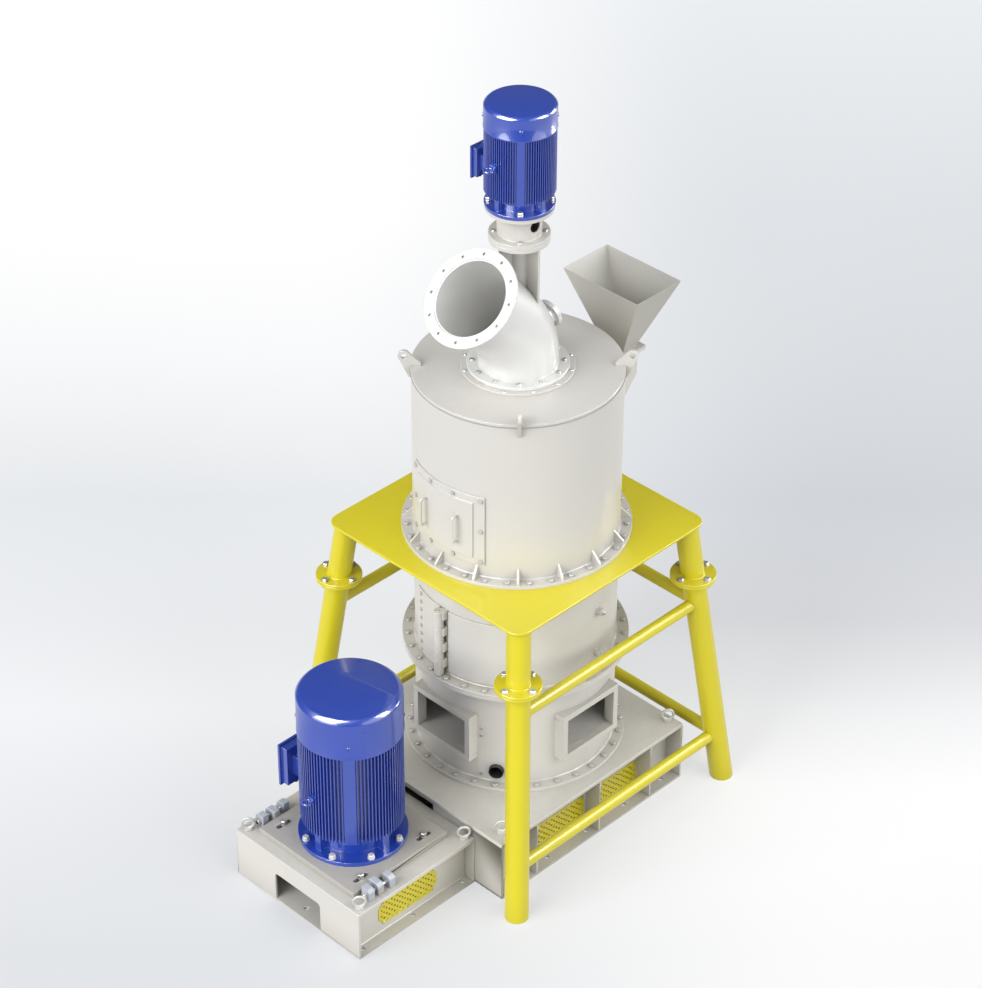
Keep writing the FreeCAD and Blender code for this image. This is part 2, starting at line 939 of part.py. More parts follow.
def lug_block(side, inside, y, foot):
    """One block on a jack screw from an X to its outer face, with a cut corner at the top."""
    top = n.motor_base_height + n.jack_height + n.jack_lug_rise
    outside = side * (n.jack_x + n.jack_lug_half)
    cut = n.jack_lug_corner
    corners = [
        vec(inside, y, foot),
        vec(outside, y, foot),
        vec(outside, y, top - cut),
        vec(outside - side * cut, y, top),
        vec(inside, y, top),
    ]
    return prism(corners, vec(0, n.jack_lug_thickness, 0))


def motor_slide_plate():
    y = (-s.motor_distance - s.slide_half_y, -s.motor_distance + s.slide_half_y)
    level = (s.motor_base_height, slide_level())
    plate = box("slide_blank", (-s.slide_half_x, s.slide_half_x), y, level)
    through = (s.motor_base_height - 1, slide_level() + 1)
    cuts = [rod("slide_bore", s.slide_bore, through, 0, -s.motor_distance)]
    for number, (side, end) in enumerate(((-1, -1), (-1, 1), (1, -1), (1, 1))):
        x = s.slot_x * side
        middle = s.slot_y * end - s.motor_distance
        ends = (middle - s.slot_half, middle + s.slot_half)
        cuts.append(box(f"slot_{number}", (x - s.slot_radius, x + s.slot_radius), ends, through))
        for tip, y_tip in enumerate(ends):
            cuts.append(rod(f"slot_{number}_end_{tip}", s.slot_radius, through, x, y_tip))
    plate = less("slide_slotted", plate, cuts)
    doc.recompute()
    foot = n.motor_base_height + n.rest_gap
    clear = n.jack_screw_radius + n.rest_gap
    ears = []
    for side in (-1, 1):
        ear = lug_block(side, side * n.slide_half_x, ear_row(), foot)
        hole_start = vec(side * n.jack_x, ear_row() - 1, n.motor_base_height + n.jack_height)
        hole = Part.makeCylinder(clear, n.jack_lug_thickness + 2, hole_start, vec(0, 1, 0))
        ears.append(ear.cut(hole))
    node("motor_slide_plate", feature("slide_with_ears", plate.Shape.multiFuse(ears).removeSplitter()))


def jack_screws():
    """Fixed lugs on the motor base, each pair with a threaded rod and its nuts."""
    thick = n.jack_lug_thickness
    axis_height = n.motor_base_height + n.jack_height
    along = vec(0, 1, 0)
    front, back = jack_rows()
    start = front - n.bolt_head - n.jack_screw_end
    length = back + thick + n.bolt_head + n.jack_screw_end - start
    pieces = []
    for side in (-1, 1):
        x = side * n.jack_x
        screw = Part.makeCylinder(n.jack_screw_radius, length, vec(x, start, axis_height), along)
        for y in (front, back):
            lug = lug_block(side, x - side * n.jack_lug_half, y, n.motor_base_height)
            pieces.append(lug.cut(screw))
        nuts = [
            hexagon(vec(x, y, axis_height), along, n.bolt_across, n.bolt_head)
            for y in (front - n.bolt_head, front + thick, back + thick)
        ]
        pieces.append(screw.multiFuse(nuts).removeSplitter())
    node("jack_screws", group("jack_screw_group", pieces))


def slide_bolts():
    """Bolts that stand in the slots and hold the slide plate down."""
    bolts = []
    bottom = n.motor_base_height
    top = bottom + n.slide_thickness + n.rest_gap
    for x in (-n.slot_x, n.slot_x):
        for y in (-n.slot_y, n.slot_y):
            point = vec(x, y - n.motor_distance, bottom)
            shank = Part.makeCylinder(n.slide_bolt_radius, top - bottom, point)
            washer = Part.makeCylinder(n.slide_washer_radius, n.slide_washer, vec(point.x, point.y, top))
            head_foot = vec(point.x, point.y, top + n.slide_washer)
            head = hexagon(head_foot, UP, n.bolt_across, n.motor_bolt_head)
            bolts.append(shank.multiFuse([washer, head]).removeSplitter())
    node("slide_bolts", group("slide_bolt_group", bolts))


# Flange motors


def motor_sizes(kind):
    """The sizes of one motor, named without the prefix main or top."""
    prefix = kind + "_"
    chosen = {key[len(prefix):]: getattr(s, key) for key in SIZES if key.startswith(prefix)}
    return SimpleNamespace(**chosen)


def motor_frame(kind, y, level):
    """Flange, ribbed end shield and finned housing, cast and bolted up as one."""
    m = motor_sizes(kind)
    shaft = m.shaft_radius + s.running_gap
    cavity = m.rotor_radius + s.rotor_gap
    shield = m.shield_height
    top = m.shield_height + m.body_height
    floor = shield - m.flange_thickness
    body = turned(
        kind + "_motor_body",
        [
            (shaft, sized(0)),
            (m.flange_radius, sized(0)),
            (m.flange_radius, m.flange_thickness),
            (m.shield_radius, m.flange_thickness),
            (m.shield_radius, shield),
            (m.core_radius, shield),
            (m.core_radius, top),
            (shaft, top),
            (shaft, top - m.flange_thickness),
            (cavity, top - m.flange_thickness),
            (cavity, shield + m.flange_thickness),
            (shaft, floor + m.flange_thickness),
        ],
    )
    half = m.fin_thickness / 2
    root = m.core_radius - half
    fin = [(root, -half), (m.fin_tip, -half), (m.fin_tip, half), (root, half)]
    pad_pattern(body, kind + "_fin", fin, shield, m.body_height, s.fin_count)
    half = m.strut_width / 2
    strut = [(shaft * 2, -half), (m.core_radius, -half), (m.core_radius, half), (shaft * 2, half)]
    strut[0] = (m.shield_radius - half, -half)
    strut[3] = (m.shield_radius - half, half)
    pad_pattern(body, kind + "_strut", strut, m.flange_thickness, shield - m.flange_thickness, 4)
    bind(body, "Placement.Base.y", y)
    bind(body, "Placement.Base.z", level)
    pieces = [body] + motor_rails(kind, m, y, level) + motor_side_pads(kind, m, y, level)
    node(kind + "_motor_frame", joined(kind + "_motor_joined", pieces))


def motor_rails(kind, m, y, level):
    """Smooth bosses for the tie bolts, on the four diagonals of the housing."""
    rails = []
    for number in range(4):
        rail = doc.addObject("Part::Box", f"{kind}_rail_{number}")
        half = m.rail_width / 2
        bind(rail, "Length", m.fin_tip - m.core_radius + m.fin_thickness * 2)
        bind(rail, "Width", m.rail_width)
        bind(rail, "Height", m.body_height)
        turn = FreeCAD.Rotation(UP, 45 + 90 * number)
        corner = turn.multVec(vec(float(m.core_radius - m.fin_thickness * 2), float(-half), 0))
        centre = vec(0, float(y), float(level + m.shield_height))
        rail.Placement = FreeCAD.Placement(centre + corner, turn)
        rails.append(rail)
    return rails


# The pad under a terminal box starts at a quarter of the box's height, and reaches a third of its
# width to each side; the box behind the lid takes a third of the depth
PAD_RISE = 0.25
PAD_REACH = 1 / 3
BOX_DEPTH = 1 / 3


def motor_side_pads(kind, m, y, level):
    """The pad under the terminal box and the boss and ring of the lifting eye."""
    bottom = level + m.box_level + m.box_height * PAD_RISE
    reach = m.fin_tip + m.fin_thickness
    half = m.box_width * PAD_REACH
    pad = box(
        kind + "_terminal_pad",
        (-reach, -m.core_radius + m.fin_thickness),
        (y - half, y + half),
        (bottom, bottom + m.box_height / 2),
    )
    eye_level = level + m.eye_level
    root = y - m.core_radius + m.fin_thickness
    boss_half = s.eye_collar_radius
    boss = box(
        kind + "_eye_boss",
        (-boss_half, boss_half),
        (y - reach - s.eye_collar, root),
        (eye_level - boss_half, eye_level + boss_half),
    )
    wire = (s.eye_radius - s.eye_hole) / 2
    ring = doc.addObject("Part::Torus", kind + "_eye_ring")
    bind(ring, "Radius1", s.eye_radius - wire)
    bind(ring, "Radius2", wire)
    place(ring, 0, y - reach - s.eye_collar - s.eye_radius + wire, eye_level)
    return [pad, boss, ring]


def motor_cowl(kind, y, level):
    """Round fan cowl with a soft top edge."""
    m = motor_sizes(kind)
    bottom = level + m.shield_height + m.body_height
    top = bottom + m.cowl_height
    outer = rod(kind + "_cowl_outer", m.cowl_radius, (bottom, top), 0, y)
    outer = rounded(
        kind + "_cowl_round",
        outer,
        m.cowl_edge,
        lambda edge: edge.Closed and edge.CenterOfMass.z > float(top) - 1,
    )
    inner = rod(kind + "_cowl_inner", m.cowl_radius - s.cowl_wall, (bottom - 1, top - m.cowl_edge), 0, y)
    seat = rod(kind + "_cowl_seat", m.core_radius, (bottom - 1, bottom), 0, y)
    node(kind + "_motor_cowl", less(kind + "_cowl", outer, [inner, seat]))


def terminal_box(kind, y, level):
    """Lid, box and neck on the housing's -X side."""
    m = motor_sizes(kind)
    low = level + m.box_level
    high = low + m.box_height
    half = m.box_width / 2
    lid = m.fin_thickness * 2
    face = m.fin_tip + m.fin_thickness
    lid_back = -m.box_reach + lid
    inset = m.fin_thickness * 2
    neck_low = low + m.box_height * PAD_RISE + m.fin_thickness
    neck_high = high - m.box_height * PAD_RISE - m.fin_thickness
    neck_half = m.box_width * PAD_REACH - m.fin_thickness
    box_back = lid_back + (m.box_reach - face) * BOX_DEPTH
    pieces = [
        box(kind + "_lid", (-m.box_reach, lid_back), (y - half, y + half), (low, high)),
        box(
            kind + "_box",
            (lid_back, box_back),
            (y - half + inset, y + half - inset),
            (low + inset, high - inset),
        ),
        box(kind + "_neck", (box_back, -face), (y - neck_half, y + neck_half), (neck_low, neck_high)),
    ]
    node(kind + "_terminal_box", joined(kind + "_terminal", pieces))


def motor_rotor(kind, y, level):
    """Shaft, rotor core and cooling fan."""
    m = motor_sizes(kind)
    shield = m.shield_height
    top = shield + m.body_height
    gap = m.flange_thickness + s.rotor_gap
    fan_low = top + m.fin_thickness
    fan_high = top + m.cowl_height / 2
    hub = m.shaft_radius * 2
    fan = m.core_radius - m.fin_thickness
    body = turned(
        kind + "_rotor_body",
        [
            (sized(0), -m.shaft_length),
            (m.shaft_radius, -m.shaft_length),
            (m.shaft_radius, shield + gap),
            (m.rotor_radius, shield + gap),
            (m.rotor_radius, top - gap),
            (m.shaft_radius, top - gap),
            (m.shaft_radius, fan_low),
            (fan, fan_low),
            (fan, fan_low + m.fin_thickness),
            (hub, fan_low + m.fin_thickness),
            (hub, fan_high),
            (sized(0), fan_high),
        ],
    )
    half = m.fin_thickness / 2
    blade = [(hub - half, -half), (fan, -half), (fan, half), (hub - half, half)]
    level_blade = fan_low + half
    pad_pattern(body, kind + "_fan", blade, level_blade, fan_high - level_blade, s.fan_blades)
    bind(body, "Placement.Base.y", y)
    bind(body, "Placement.Base.z", level)
    node(kind + "_motor_rotor", body)


def main_motor_bolts():
    level = n.motor_base_height + n.slide_thickness + n.main_flange_thickness
    centre = vec(0, -n.motor_distance, 0)
    count = n.main_bolt_count
    heads = head_ring(
        n.main_bolt_circle, level, count, 180 / count, n.bolt_across, n.motor_bolt_head, centre
    )
    node("main_motor_bolts", group("main_motor_bolt_group", heads))


def motors():
    main = (-s.motor_distance, slide_level())
    top = (sized(0), s.lantern_top)
    for kind, (y, level) in (("main", main), ("top", top)):
        motor_frame(kind, y, level)
        motor_cowl(kind, y, level)
        terminal_box(kind, y, level)
        motor_rotor(kind, y, level)


# Belt drive


def belt_half_width(depth):
    """Half the belt's width at a depth below its back."""
    change = (s.belt_top_width - s.belt_bottom_width) / 2
    return s.belt_top_width / 2 - change * depth / s.belt_depth


def pulley_height():
    return s.belt_spacing * s.belt_count + s.rim_edge * 2


def belt_level(number):
    """Middle height of one belt."""
    return s.pulley_bottom + s.rim_edge + s.belt_spacing * (number + 0.5)


def groove_corners(radius):
    """The grooved rim from its lower edge to its upper edge."""
    depth = s.belt_depth + s.groove_gap * 2
    corners = [(radius, s.pulley_bottom)]
    for number in range(int(n.belt_count)):
        middle = belt_level(number)
        mouth = belt_half_width(sized(0)) + s.groove_gap
        root = belt_half_width(depth) + s.groove_gap
        corners += [(radius, middle - mouth), (radius - depth, middle - root)]
        corners += [(radius - depth, middle + root), (radius, middle + mouth)]
    return corners + [(radius, s.pulley_bottom + pulley_height())]


def mill_pulley():
    low = s.pulley_bottom
    high = s.pulley_bottom + pulley_height()
    radius = s.mill_pulley_radius
    inner = radius - s.rim_depth
    middle = (low + high) / 2
    half = s.pulley_web / 2
    corners = [
        (s.pulley_seat_radius, low),
        (s.mill_hub_radius, low),
        (s.mill_hub_radius, middle - half),
        (inner, middle - half),
        (inner, low),
    ]
    corners += groove_corners(radius)
    corners += [
        (inner, high),
        (inner, middle + half),
        (s.mill_hub_radius, middle + half),
        (s.mill_hub_radius, s.housing_bottom),
        (s.pulley_seat_radius, s.housing_bottom),
    ]
    node("mill_pulley", turned("mill_pulley_body", corners))


def motor_pulley():
    low = s.pulley_bottom
    high = s.pulley_bottom + pulley_height()
    corners = [(s.main_shaft_radius, low)] + groove_corners(s.motor_pulley_radius)
    corners += [(s.main_shaft_radius, high)]
    body = turned("motor_pulley_body", corners)
    bind(body, "Placement.Base.y", -s.motor_distance)
    node("motor_pulley", body)


def v_belts():
    """Wedge belts on the outside tangents of the two pulleys."""
    big = n.mill_pulley_radius
    small = n.motor_pulley_radius
    far = vec(0, -n.motor_distance, 0)
    lean = math.degrees(math.asin((big - small) / n.motor_distance))
    right, left = -lean, 180 + lean
    path = Part.Wire(
        [
            Part.Arc(polar(big, right), vec(0, big, 0), polar(big, left)).toShape(),
            Part.makeLine(polar(big, left), far + polar(small, left)),
            Part.Arc(far + polar(small, left), far - vec(0, small, 0), far + polar(small, right)).toShape(),
            Part.makeLine(far + polar(small, right), polar(big, right)),
        ]
    )
    inward = polar(-n.belt_depth, right)
    start = polar(big, right)
    back = UP * (n.belt_top_width / 2)
    front = UP * (n.belt_bottom_width / 2)
    section = [start - back, start + back, start + inward + front, start + inward - front]
    profile = Part.makePolygon(section + section[:1])
    belt = Part.Solid(path.makePipeShell([profile], True, False))
    belts = []
    for number in range(int(n.belt_count)):
        copy = belt.copy()
        copy.translate(UP * float(belt_level(number)))
        belts.append(copy)
    node("v_belts", group("v_belt_group", belts))


# Main shaft, its housing and the roller cage


def layer_low(number):
    """Bottom of one layer of grinding rings."""
    return s.middle_joint + s.ring_ledge + s.layer_height * number


LAYERS = 3
ROLLERS_PER_LAYER = 3


def main_shaft():
    cage_low = layer_low(0) - s.cage_plate / 2
    cage_high = layer_low(LAYERS) + s.cage_plate / 2
    tail = s.pulley_bottom - s.shaft_tail
    body = turned(
        "main_shaft_body",
        [
            (sized(0), tail),
            (s.pulley_seat_radius, tail),
            (s.pulley_seat_radius, s.housing_bottom),
            (s.bearing_seat_radius, s.housing_bottom),
            (s.bearing_seat_radius, cage_low),
            (s.cage_seat_radius, cage_low),
            (s.cage_seat_radius, cage_high),
            (s.cage_nut_radius, cage_high),
            (s.cage_nut_radius, cage_high + s.cage_nut),
            (sized(0), cage_high + s.cage_nut),
        ],
    )
    node("main_shaft", body)


def bearing_housing():
    low = s.housing_bottom
    high = s.housing_top
    flange = s.base_height
    seat = s.bearing_outer_radius
    waist = s.housing_waist_radius
    depth = s.bearing_width + s.rim_edge
    body = turned(
        "housing_body",
        [
            (seat, low),
            (s.housing_radius, low),
            (s.housing_radius, flange),
            (s.housing_flange_radius, flange),
            (s.housing_flange_radius, flange + s.housing_flange),
            (s.housing_radius, flange + s.housing_flange),
            (s.housing_radius, high),
            (seat, high),
            (seat, high - depth),
            (waist, high - depth),
            (waist, low + depth),
            (seat, low + depth),
        ],
    )
    node("bearing_housing", body)


def bearings():
    """Two bearings on the main shaft and two in the classifier stand, as plain rings."""
    main_bore = n.bearing_seat_radius + n.running_gap
    shaft_bore = n.classifier_shaft_radius + n.running_gap
    width = n.bearing_width
    thin = n.classifier_bearing_width
    rings = [
        (main_bore, n.bearing_outer_radius, n.housing_bottom + n.rim_edge, width),
        (main_bore, n.bearing_outer_radius, n.housing_top - n.rim_edge - width, width),
        (shaft_bore, n.stand_bore, n.stand_bottom, thin),
        (shaft_bore, n.stand_bore, n.stand_top - thin, thin),
    ]
    solids = []
    for bore, outer, low, height in rings:
        foot = vec(0, 0, low)
        solids.append(Part.makeCylinder(outer, height, foot).cut(Part.makeCylinder(bore, height, foot)))
    node("shaft_bearings", group("bearing_group", solids))


def roller_angle(layer, number):
    """Each layer is turned a third of a step from the one below."""
    step = 360 / ROLLERS_PER_LAYER
    return 90 + step * number + step / LAYERS * layer


def roller_cage():
    """Plates on a hub, with the rollers' pins between them."""
    half = s.cage_plate / 2
    corners = [(s.cage_seat_radius, layer_low(0) - half)]
    for layer in range(LAYERS + 1):
        middle = layer_low(layer)
        corners += [(s.cage_plate_radius, middle - half), (s.cage_plate_radius, middle + half)]
        if layer < LAYERS:
            corners += [(s.cage_hub_radius, middle + half)]
            corners += [(s.cage_hub_radius, layer_low(layer + 1) - half)]
    corners += [(s.cage_seat_radius, layer_low(LAYERS) + half)]
    plates = turned("cage_plates", corners)
    doc.recompute()
    pins = []
    for layer in range(LAYERS):
        low = float(layer_low(layer) + half)
        height = n.layer_height - n.cage_plate
        for number in range(ROLLERS_PER_LAYER):
            foot = polar(n.cage_pin_circle, roller_angle(layer, number), low)
            pins.append(Part.makeCylinder(n.cage_pin_radius, height, foot))
    node("roller_cage", feature("cage_with_pins", plates.Shape.multiFuse(pins).removeSplitter()))


def rollers():
    """Loose rings that roll inside the grinding rings."""
    outer = s.grinding_bore - s.cage_pin_circle - s.roller_gap
    bore = s.cage_pin_radius + s.running_gap
    for layer in range(LAYERS):
        low = layer_low(layer) + s.cage_plate / 2 + s.roller_end_gap
        high = layer_low(layer + 1) - s.cage_plate / 2 - s.roller_end_gap
        for number in range(ROLLERS_PER_LAYER):
            name = f"roller_{layer + 1}{'abc'[number]}"
            body = turned(name + "_body", [(bore, low), (outer, low), (outer, high), (bore, high)])
            centre = polar(n.cage_pin_circle, roller_angle(layer, number))
            body.Placement = FreeCAD.Placement(centre, FreeCAD.Rotation())
            node(name, body)


def grinding_rings():
    """Stacked wear rings, each with a shoulder that spaces it from the next."""
    rings = []
    for layer in range(LAYERS):
        low = layer_low(layer)
        high = layer_low(layer + 1)
        step = s.grinding_step
        rings.append(
            turned(
                f"grinding_ring_{layer + 1}",
                [
                    (s.grinding_shoulder, low),
                    (s.casing_bore, low),
                    (s.casing_bore, high),
                    (s.grinding_shoulder, high),
                    (s.grinding_shoulder, high - step),
                    (s.grinding_bore, high - step),
                    (s.grinding_bore, low + step),
                    (s.grinding_shoulder, low + step),
                ],
            )
        )
    doc.recompute()
    node("grinding_rings", group("grinding_ring_group", [ring.Shape for ring in rings]))


# Casings


def air_duct():
    """Ring-shaped duct inside the lower casing, under the rollers."""
    floor = s.port_bottom - s.duct_floor
    wall = s.duct_wall_radius
    cap = floor + s.duct_height
    duct = turned(
        "air_duct_form",
        [
            (wall, floor),
            (s.casing_bore, floor),
            (s.casing_bore, s.port_bottom),
            (wall + s.duct_wall, s.port_bottom),
            (wall + s.duct_wall, cap),
            (s.duct_cap_bore, cap),
            (s.duct_cap_bore, cap - s.duct_floor),
            (wall, cap - s.duct_floor),
        ],
    )
    node("air_duct", duct)


def around(solid):
    """A solid on the -Y side of the mill and its twin on the +X side."""
    twin = solid.copy()
    twin.rotate(vec(0, 0, 0), UP, 90)
    return [solid, twin]


def framed(depth, start, half, low, height, border):
    """Four bars round a rectangular opening that looks along -Y, from a distance inwards."""
    wide = half + border
    sill = vec(-wide, -start, low - border)
    return [
        Part.makeBox(2 * wide, depth, border, sill),
        Part.makeBox(2 * wide, depth, border, vec(-wide, -start, low + height)),
        Part.makeBox(border, depth, height, vec(-wide, -start, low)),
        Part.makeBox(border, depth, height, vec(half, -start, low)),
    ]


def inlet_frames():
    """Two rectangular frames of four bars on the outside of the lower casing."""
    casing = Part.makeCylinder(n.casing_bore + n.casing_wall, 2 * n.port_face, vec(0, 0, n.base_height))
    bars = framed(n.port_face, n.port_face, n.port_half, n.port_bottom, n.port_height, n.port_border)
    return [side for bar in bars for side in around(bar.cut(casing))]


def sectors(inner, outer, step, low, high):
    """A whole ring in touching sectors that start from the +X axis."""
    angles = [step * number for number in range(round(360 / step))]
    return [shell_sector(inner, outer, angle, angle + step, low, high) for angle in angles]


def sleeve_zone(outer):
    """Heights just under and over the sleeve, and the cylinder that clears it from the wall."""
    radius = n.sleeve_radius + n.sleeve_wall
    start = polar(n.casing_bore - n.sleeve_depth, n.sleeve_angle, n.sleeve_level)
    direction = polar(1, n.sleeve_angle)
    tube = Part.makeCylinder(radius, n.sleeve_depth + 4 * n.casing_wall, start, direction)
    drill = Part.makeCylinder(n.sleeve_radius, n.sleeve_depth + 4 * n.casing_wall, start, direction)
    casing = Part.makeCylinder(outer, 2 * n.middle_joint)
    margin = radius + n.sleeve_wall
    return n.sleeve_level - margin, n.sleeve_level + margin, tube, tube.common(casing).cut(drill)


def lower_wall():
    """Sectors of the shell between its flanges, cut round both inlets and the sleeve."""
    inner = n.casing_bore
    outer = n.casing_bore + n.casing_wall
    low = n.base_height + n.lower_flange
    high = n.middle_joint - n.middle_flange
    port_top = n.port_bottom + n.port_height
    sill, lintel, hole, sleeve = sleeve_zone(outer)
    corner = vec(-n.port_half, -n.port_face, n.port_bottom)
    ports = around(Part.makeBox(2 * n.port_half, n.port_face, n.port_height, corner))
    pieces = [sleeve]
    step = n.wall_sector
    for number in range(round(360 / step)):
        angle = step * number - 90
        if angle in (270 - step, -90, -step, 0):
            levels = (low, n.port_bottom, port_top, high)
        elif angle < n.sleeve_angle < angle + step:
            levels = (low, sill, lintel, high)
        else:
            levels = (low, high)
        for floor, roof in zip(levels, levels[1:]):
            piece = shell_sector(inner, outer, angle, angle + step, floor, roof)
            if floor == n.port_bottom:
                piece = piece.cut(ports)
            if floor == sill:
                piece = piece.cut(hole)
            pieces.append(piece)
    return pieces


def lower_casing():
    """Shell with two flanges, two air inlets and a sleeve, in solids that touch."""
    inner = n.casing_bore
    low = n.base_height
    high = n.middle_joint
    step = n.flange_sector
    pieces = sectors(inner, n.lower_flange_radius, step, low, low + n.lower_flange)
    pieces += sectors(inner, n.middle_flange_radius, step, high - n.middle_flange, high)
    node("lower_casing", group("lower_casing_forms", pieces + lower_wall() + inlet_frames()))


def door_angles():
    """Start and end of the door round the casing, in degrees."""
    return (-90 + n.door_start, -90 + n.door_end)


def middle_casing():
    """Flanged shell that hangs under the platform, with the door's opening."""
    outer = s.casing_bore + s.casing_wall
    low = s.middle_joint
    high = s.platform_top - s.platform_thickness
    shell = turned(
        "middle_shell",
        [
            (s.ring_ledge_bore, low),
            (s.middle_flange_radius, low),
            (s.middle_flange_radius, low + s.middle_flange),
            (outer, low + s.middle_flange),
            (outer, high - s.platform_flange),
            (s.platform_flange_radius, high - s.platform_flange),
            (s.platform_flange_radius, high),
            (s.casing_bore, high),
            (s.casing_bore, low + s.ring_ledge),
            (s.ring_ledge_bore, low + s.ring_ledge),
        ],
    )
    doc.recompute()
    first, last = door_angles()
    lap = math.degrees(n.door_lap / n.casing_bore)
    opening = shell_sector(
        n.casing_bore - n.casing_wall,
        n.casing_bore + 2 * n.casing_wall,
        first + lap,
        last - lap,
        n.door_bottom + n.door_lap,
        n.door_top - n.door_lap,
    )
    plugs = []
    for level in (n.plug_low, n.plug_high):
        start = polar(n.casing_bore + n.casing_wall / 2, n.plug_angle, level)
        reach = n.plug_reach + n.casing_wall / 2
        plugs.append(Part.makeCylinder(n.plug_radius, reach, start, polar(1, n.plug_angle)))
    solid = shell.Shape.cut(opening).multiFuse(plugs)
    node("middle_casing", feature("middle_casing_form", solid.removeSplitter()))


def knuckles(first, bore):
    """Every second knuckle of the hinge with its strap, from one index."""
    outer = n.casing_bore + n.casing_wall + n.seat_gap
    side = 1 if first else -1
    solids = []
    for number in range(first, int(n.knuckle_count), 2):
        low = n.hinge_bottom + number * n.knuckle_length + n.seat_gap
        height = n.knuckle_length - 2 * n.seat_gap
        centre = vec(0, -n.hinge_reach, low)
        barrel = Part.makeCylinder(n.knuckle_radius, height, centre)
        width = n.knuckle_strap
        depth = n.hinge_reach - outer
        strap = Part.makeBox(width, depth, height, vec(0 if side > 0 else -width, -n.hinge_reach, low))
        solid = barrel.fuse(strap).cut(Part.makeCylinder(bore, height, centre))
        solids.append(solid)
    return solids


def hinge_leaf():
    """Fixed leaf on the casing with its knuckles."""
    outer = n.casing_bore + n.casing_wall
    leaf = shell_sector(
        outer,
        outer + n.door_thickness,
        -90 - n.leaf_end,
        -90 - n.door_start / 2,
        n.hinge_bottom,
        n.hinge_bottom + n.knuckle_count * n.knuckle_length,
    )
    solid = leaf.multiFuse(knuckles(0, n.hinge_pin_radius))
    node("hinge_leaf", feature("hinge_leaf_form", solid.removeSplitter()))


def hinge_pin():
    low = s.hinge_bottom + s.seat_gap
    high = s.hinge_bottom + s.knuckle_count * s.knuckle_length
    node("hinge_pin", rod("hinge_pin_rod", s.hinge_pin_radius, (low, high), 0, -s.hinge_reach))


def middle_door():
    """Curved door plate with its knuckles, lying on the casing."""
    inner = n.casing_bore + n.casing_wall + n.seat_gap
    first, last = door_angles()
    plate = shell_sector(inner, inner + n.door_thickness, first, last, n.door_bottom, n.door_top)
    bore = n.hinge_pin_radius + n.running_gap
    solid = plate.multiFuse(knuckles(1, bore))
    node("middle_door", feature("middle_door_form", solid.removeSplitter()))


def door_bolts():
    """Bolt heads down the free edge of the door."""
    face = n.casing_bore + n.casing_wall + n.seat_gap + n.door_thickness
    angle = -90 + n.door_end - math.degrees(n.door_lap / n.casing_bore) / 2
    pitch = (n.door_top - n.door_bottom) / n.door_bolt_count
    heads = []
    for number in range(int(n.door_bolt_count)):
        level = n.door_bottom + pitch * (number + 0.5)
        point = polar(face, angle, level)
        heads.append(hexagon(point, polar(1, angle), n.small_bolt_across, n.small_bolt_head))
    node("door_bolts", group("door_bolt_group", heads))


def upper_radius():
    return s.casing_bore + s.upper_wall


def upper_casing():
    """Tall shell on the platform, with gussets on its flange."""
    outer = upper_radius()
    low = s.platform_top
    body = turned(
        "upper_shell",
        [
            (s.casing_bore, low),
            (s.platform_flange_radius, low),
            (s.platform_flange_radius, low + s.upper_flange),
            (outer, low + s.upper_flange),
            (outer, s.upper_top),
            (s.casing_bore, s.upper_top),
        ],
    )
    doc.recompute()
    edge = float(outer)
    floor = n.platform_top + n.upper_flange
    toe = n.gusset_thickness
    across = vec(0, n.gusset_thickness, 0)
    gussets = []
    for number in range(int(n.gusset_count)):
        start = -across / 2
        corners = [
            vec(edge - toe, 0, floor),
            vec(edge + n.gusset_reach, 0, floor),
            vec(edge + n.gusset_reach, 0, floor + toe),
            vec(edge, 0, floor + n.gusset_height),
            vec(edge - toe, 0, floor + n.gusset_height),
        ]
        gusset = prism([corner + start for corner in corners], across)
        gusset.rotate(vec(0, 0, 0), UP, 360 / n.gusset_count * number)
        gussets.append(gusset)
    bore = Part.makeCylinder(n.casing_bore, n.upper_top, vec(0, 0, 0))
    inset = n.access_border + n.access_opening_inset
    half = n.access_half_angle - math.degrees(inset / edge)
    opening = shell_sector(
        n.casing_bore - n.upper_wall,
        edge + n.upper_wall,
        -90 - half,
        -90 + half,
        n.access_bottom + inset,
        n.access_top - inset,
    )
    solid = body.Shape.multiFuse(gussets).cut([bore, opening, chute_solid(-n.chute_wall)])
    node("upper_casing", feature("upper_casing_form", solid.removeSplitter()))


def bow_handle(angle):
    """A round bar bent into a bow, standing on the access panel."""
    face = float(upper_radius()) + n.access_thickness + n.access_panel
    low = n.handle_bottom
    high = low + n.handle_length
    bend = n.handle_radius * 2
    reach = face + n.handle_reach - n.handle_radius
    corner = bend * (1 - math.sqrt(0.5))
    points = {
        "foot": polar(face - 2, angle, low),
        "low_start": polar(reach - bend, angle, low),
        "low_middle": polar(reach - corner, angle, low + corner),
        "low_end": polar(reach, angle, low + bend),
        "high_start": polar(reach, angle, high - bend),
        "high_middle": polar(reach - corner, angle, high - corner),
        "high_end": polar(reach - bend, angle, high),
        "head": polar(face - 2, angle, high),
    }
    path = Part.Wire(
        [
            Part.makeLine(points["foot"], points["low_start"]),
            Part.Arc(points["low_start"], points["low_middle"], points["low_end"]).toShape(),
            Part.makeLine(points["low_end"], points["high_start"]),
            Part.Arc(points["high_start"], points["high_middle"], points["high_end"]).toShape(),
            Part.makeLine(points["high_end"], points["head"]),
        ]
    )
    section = Part.Wire(Part.makeCircle(n.handle_radius, points["foot"], polar(1, angle)))
    return Part.Solid(path.makePipeShell([section], True, False))


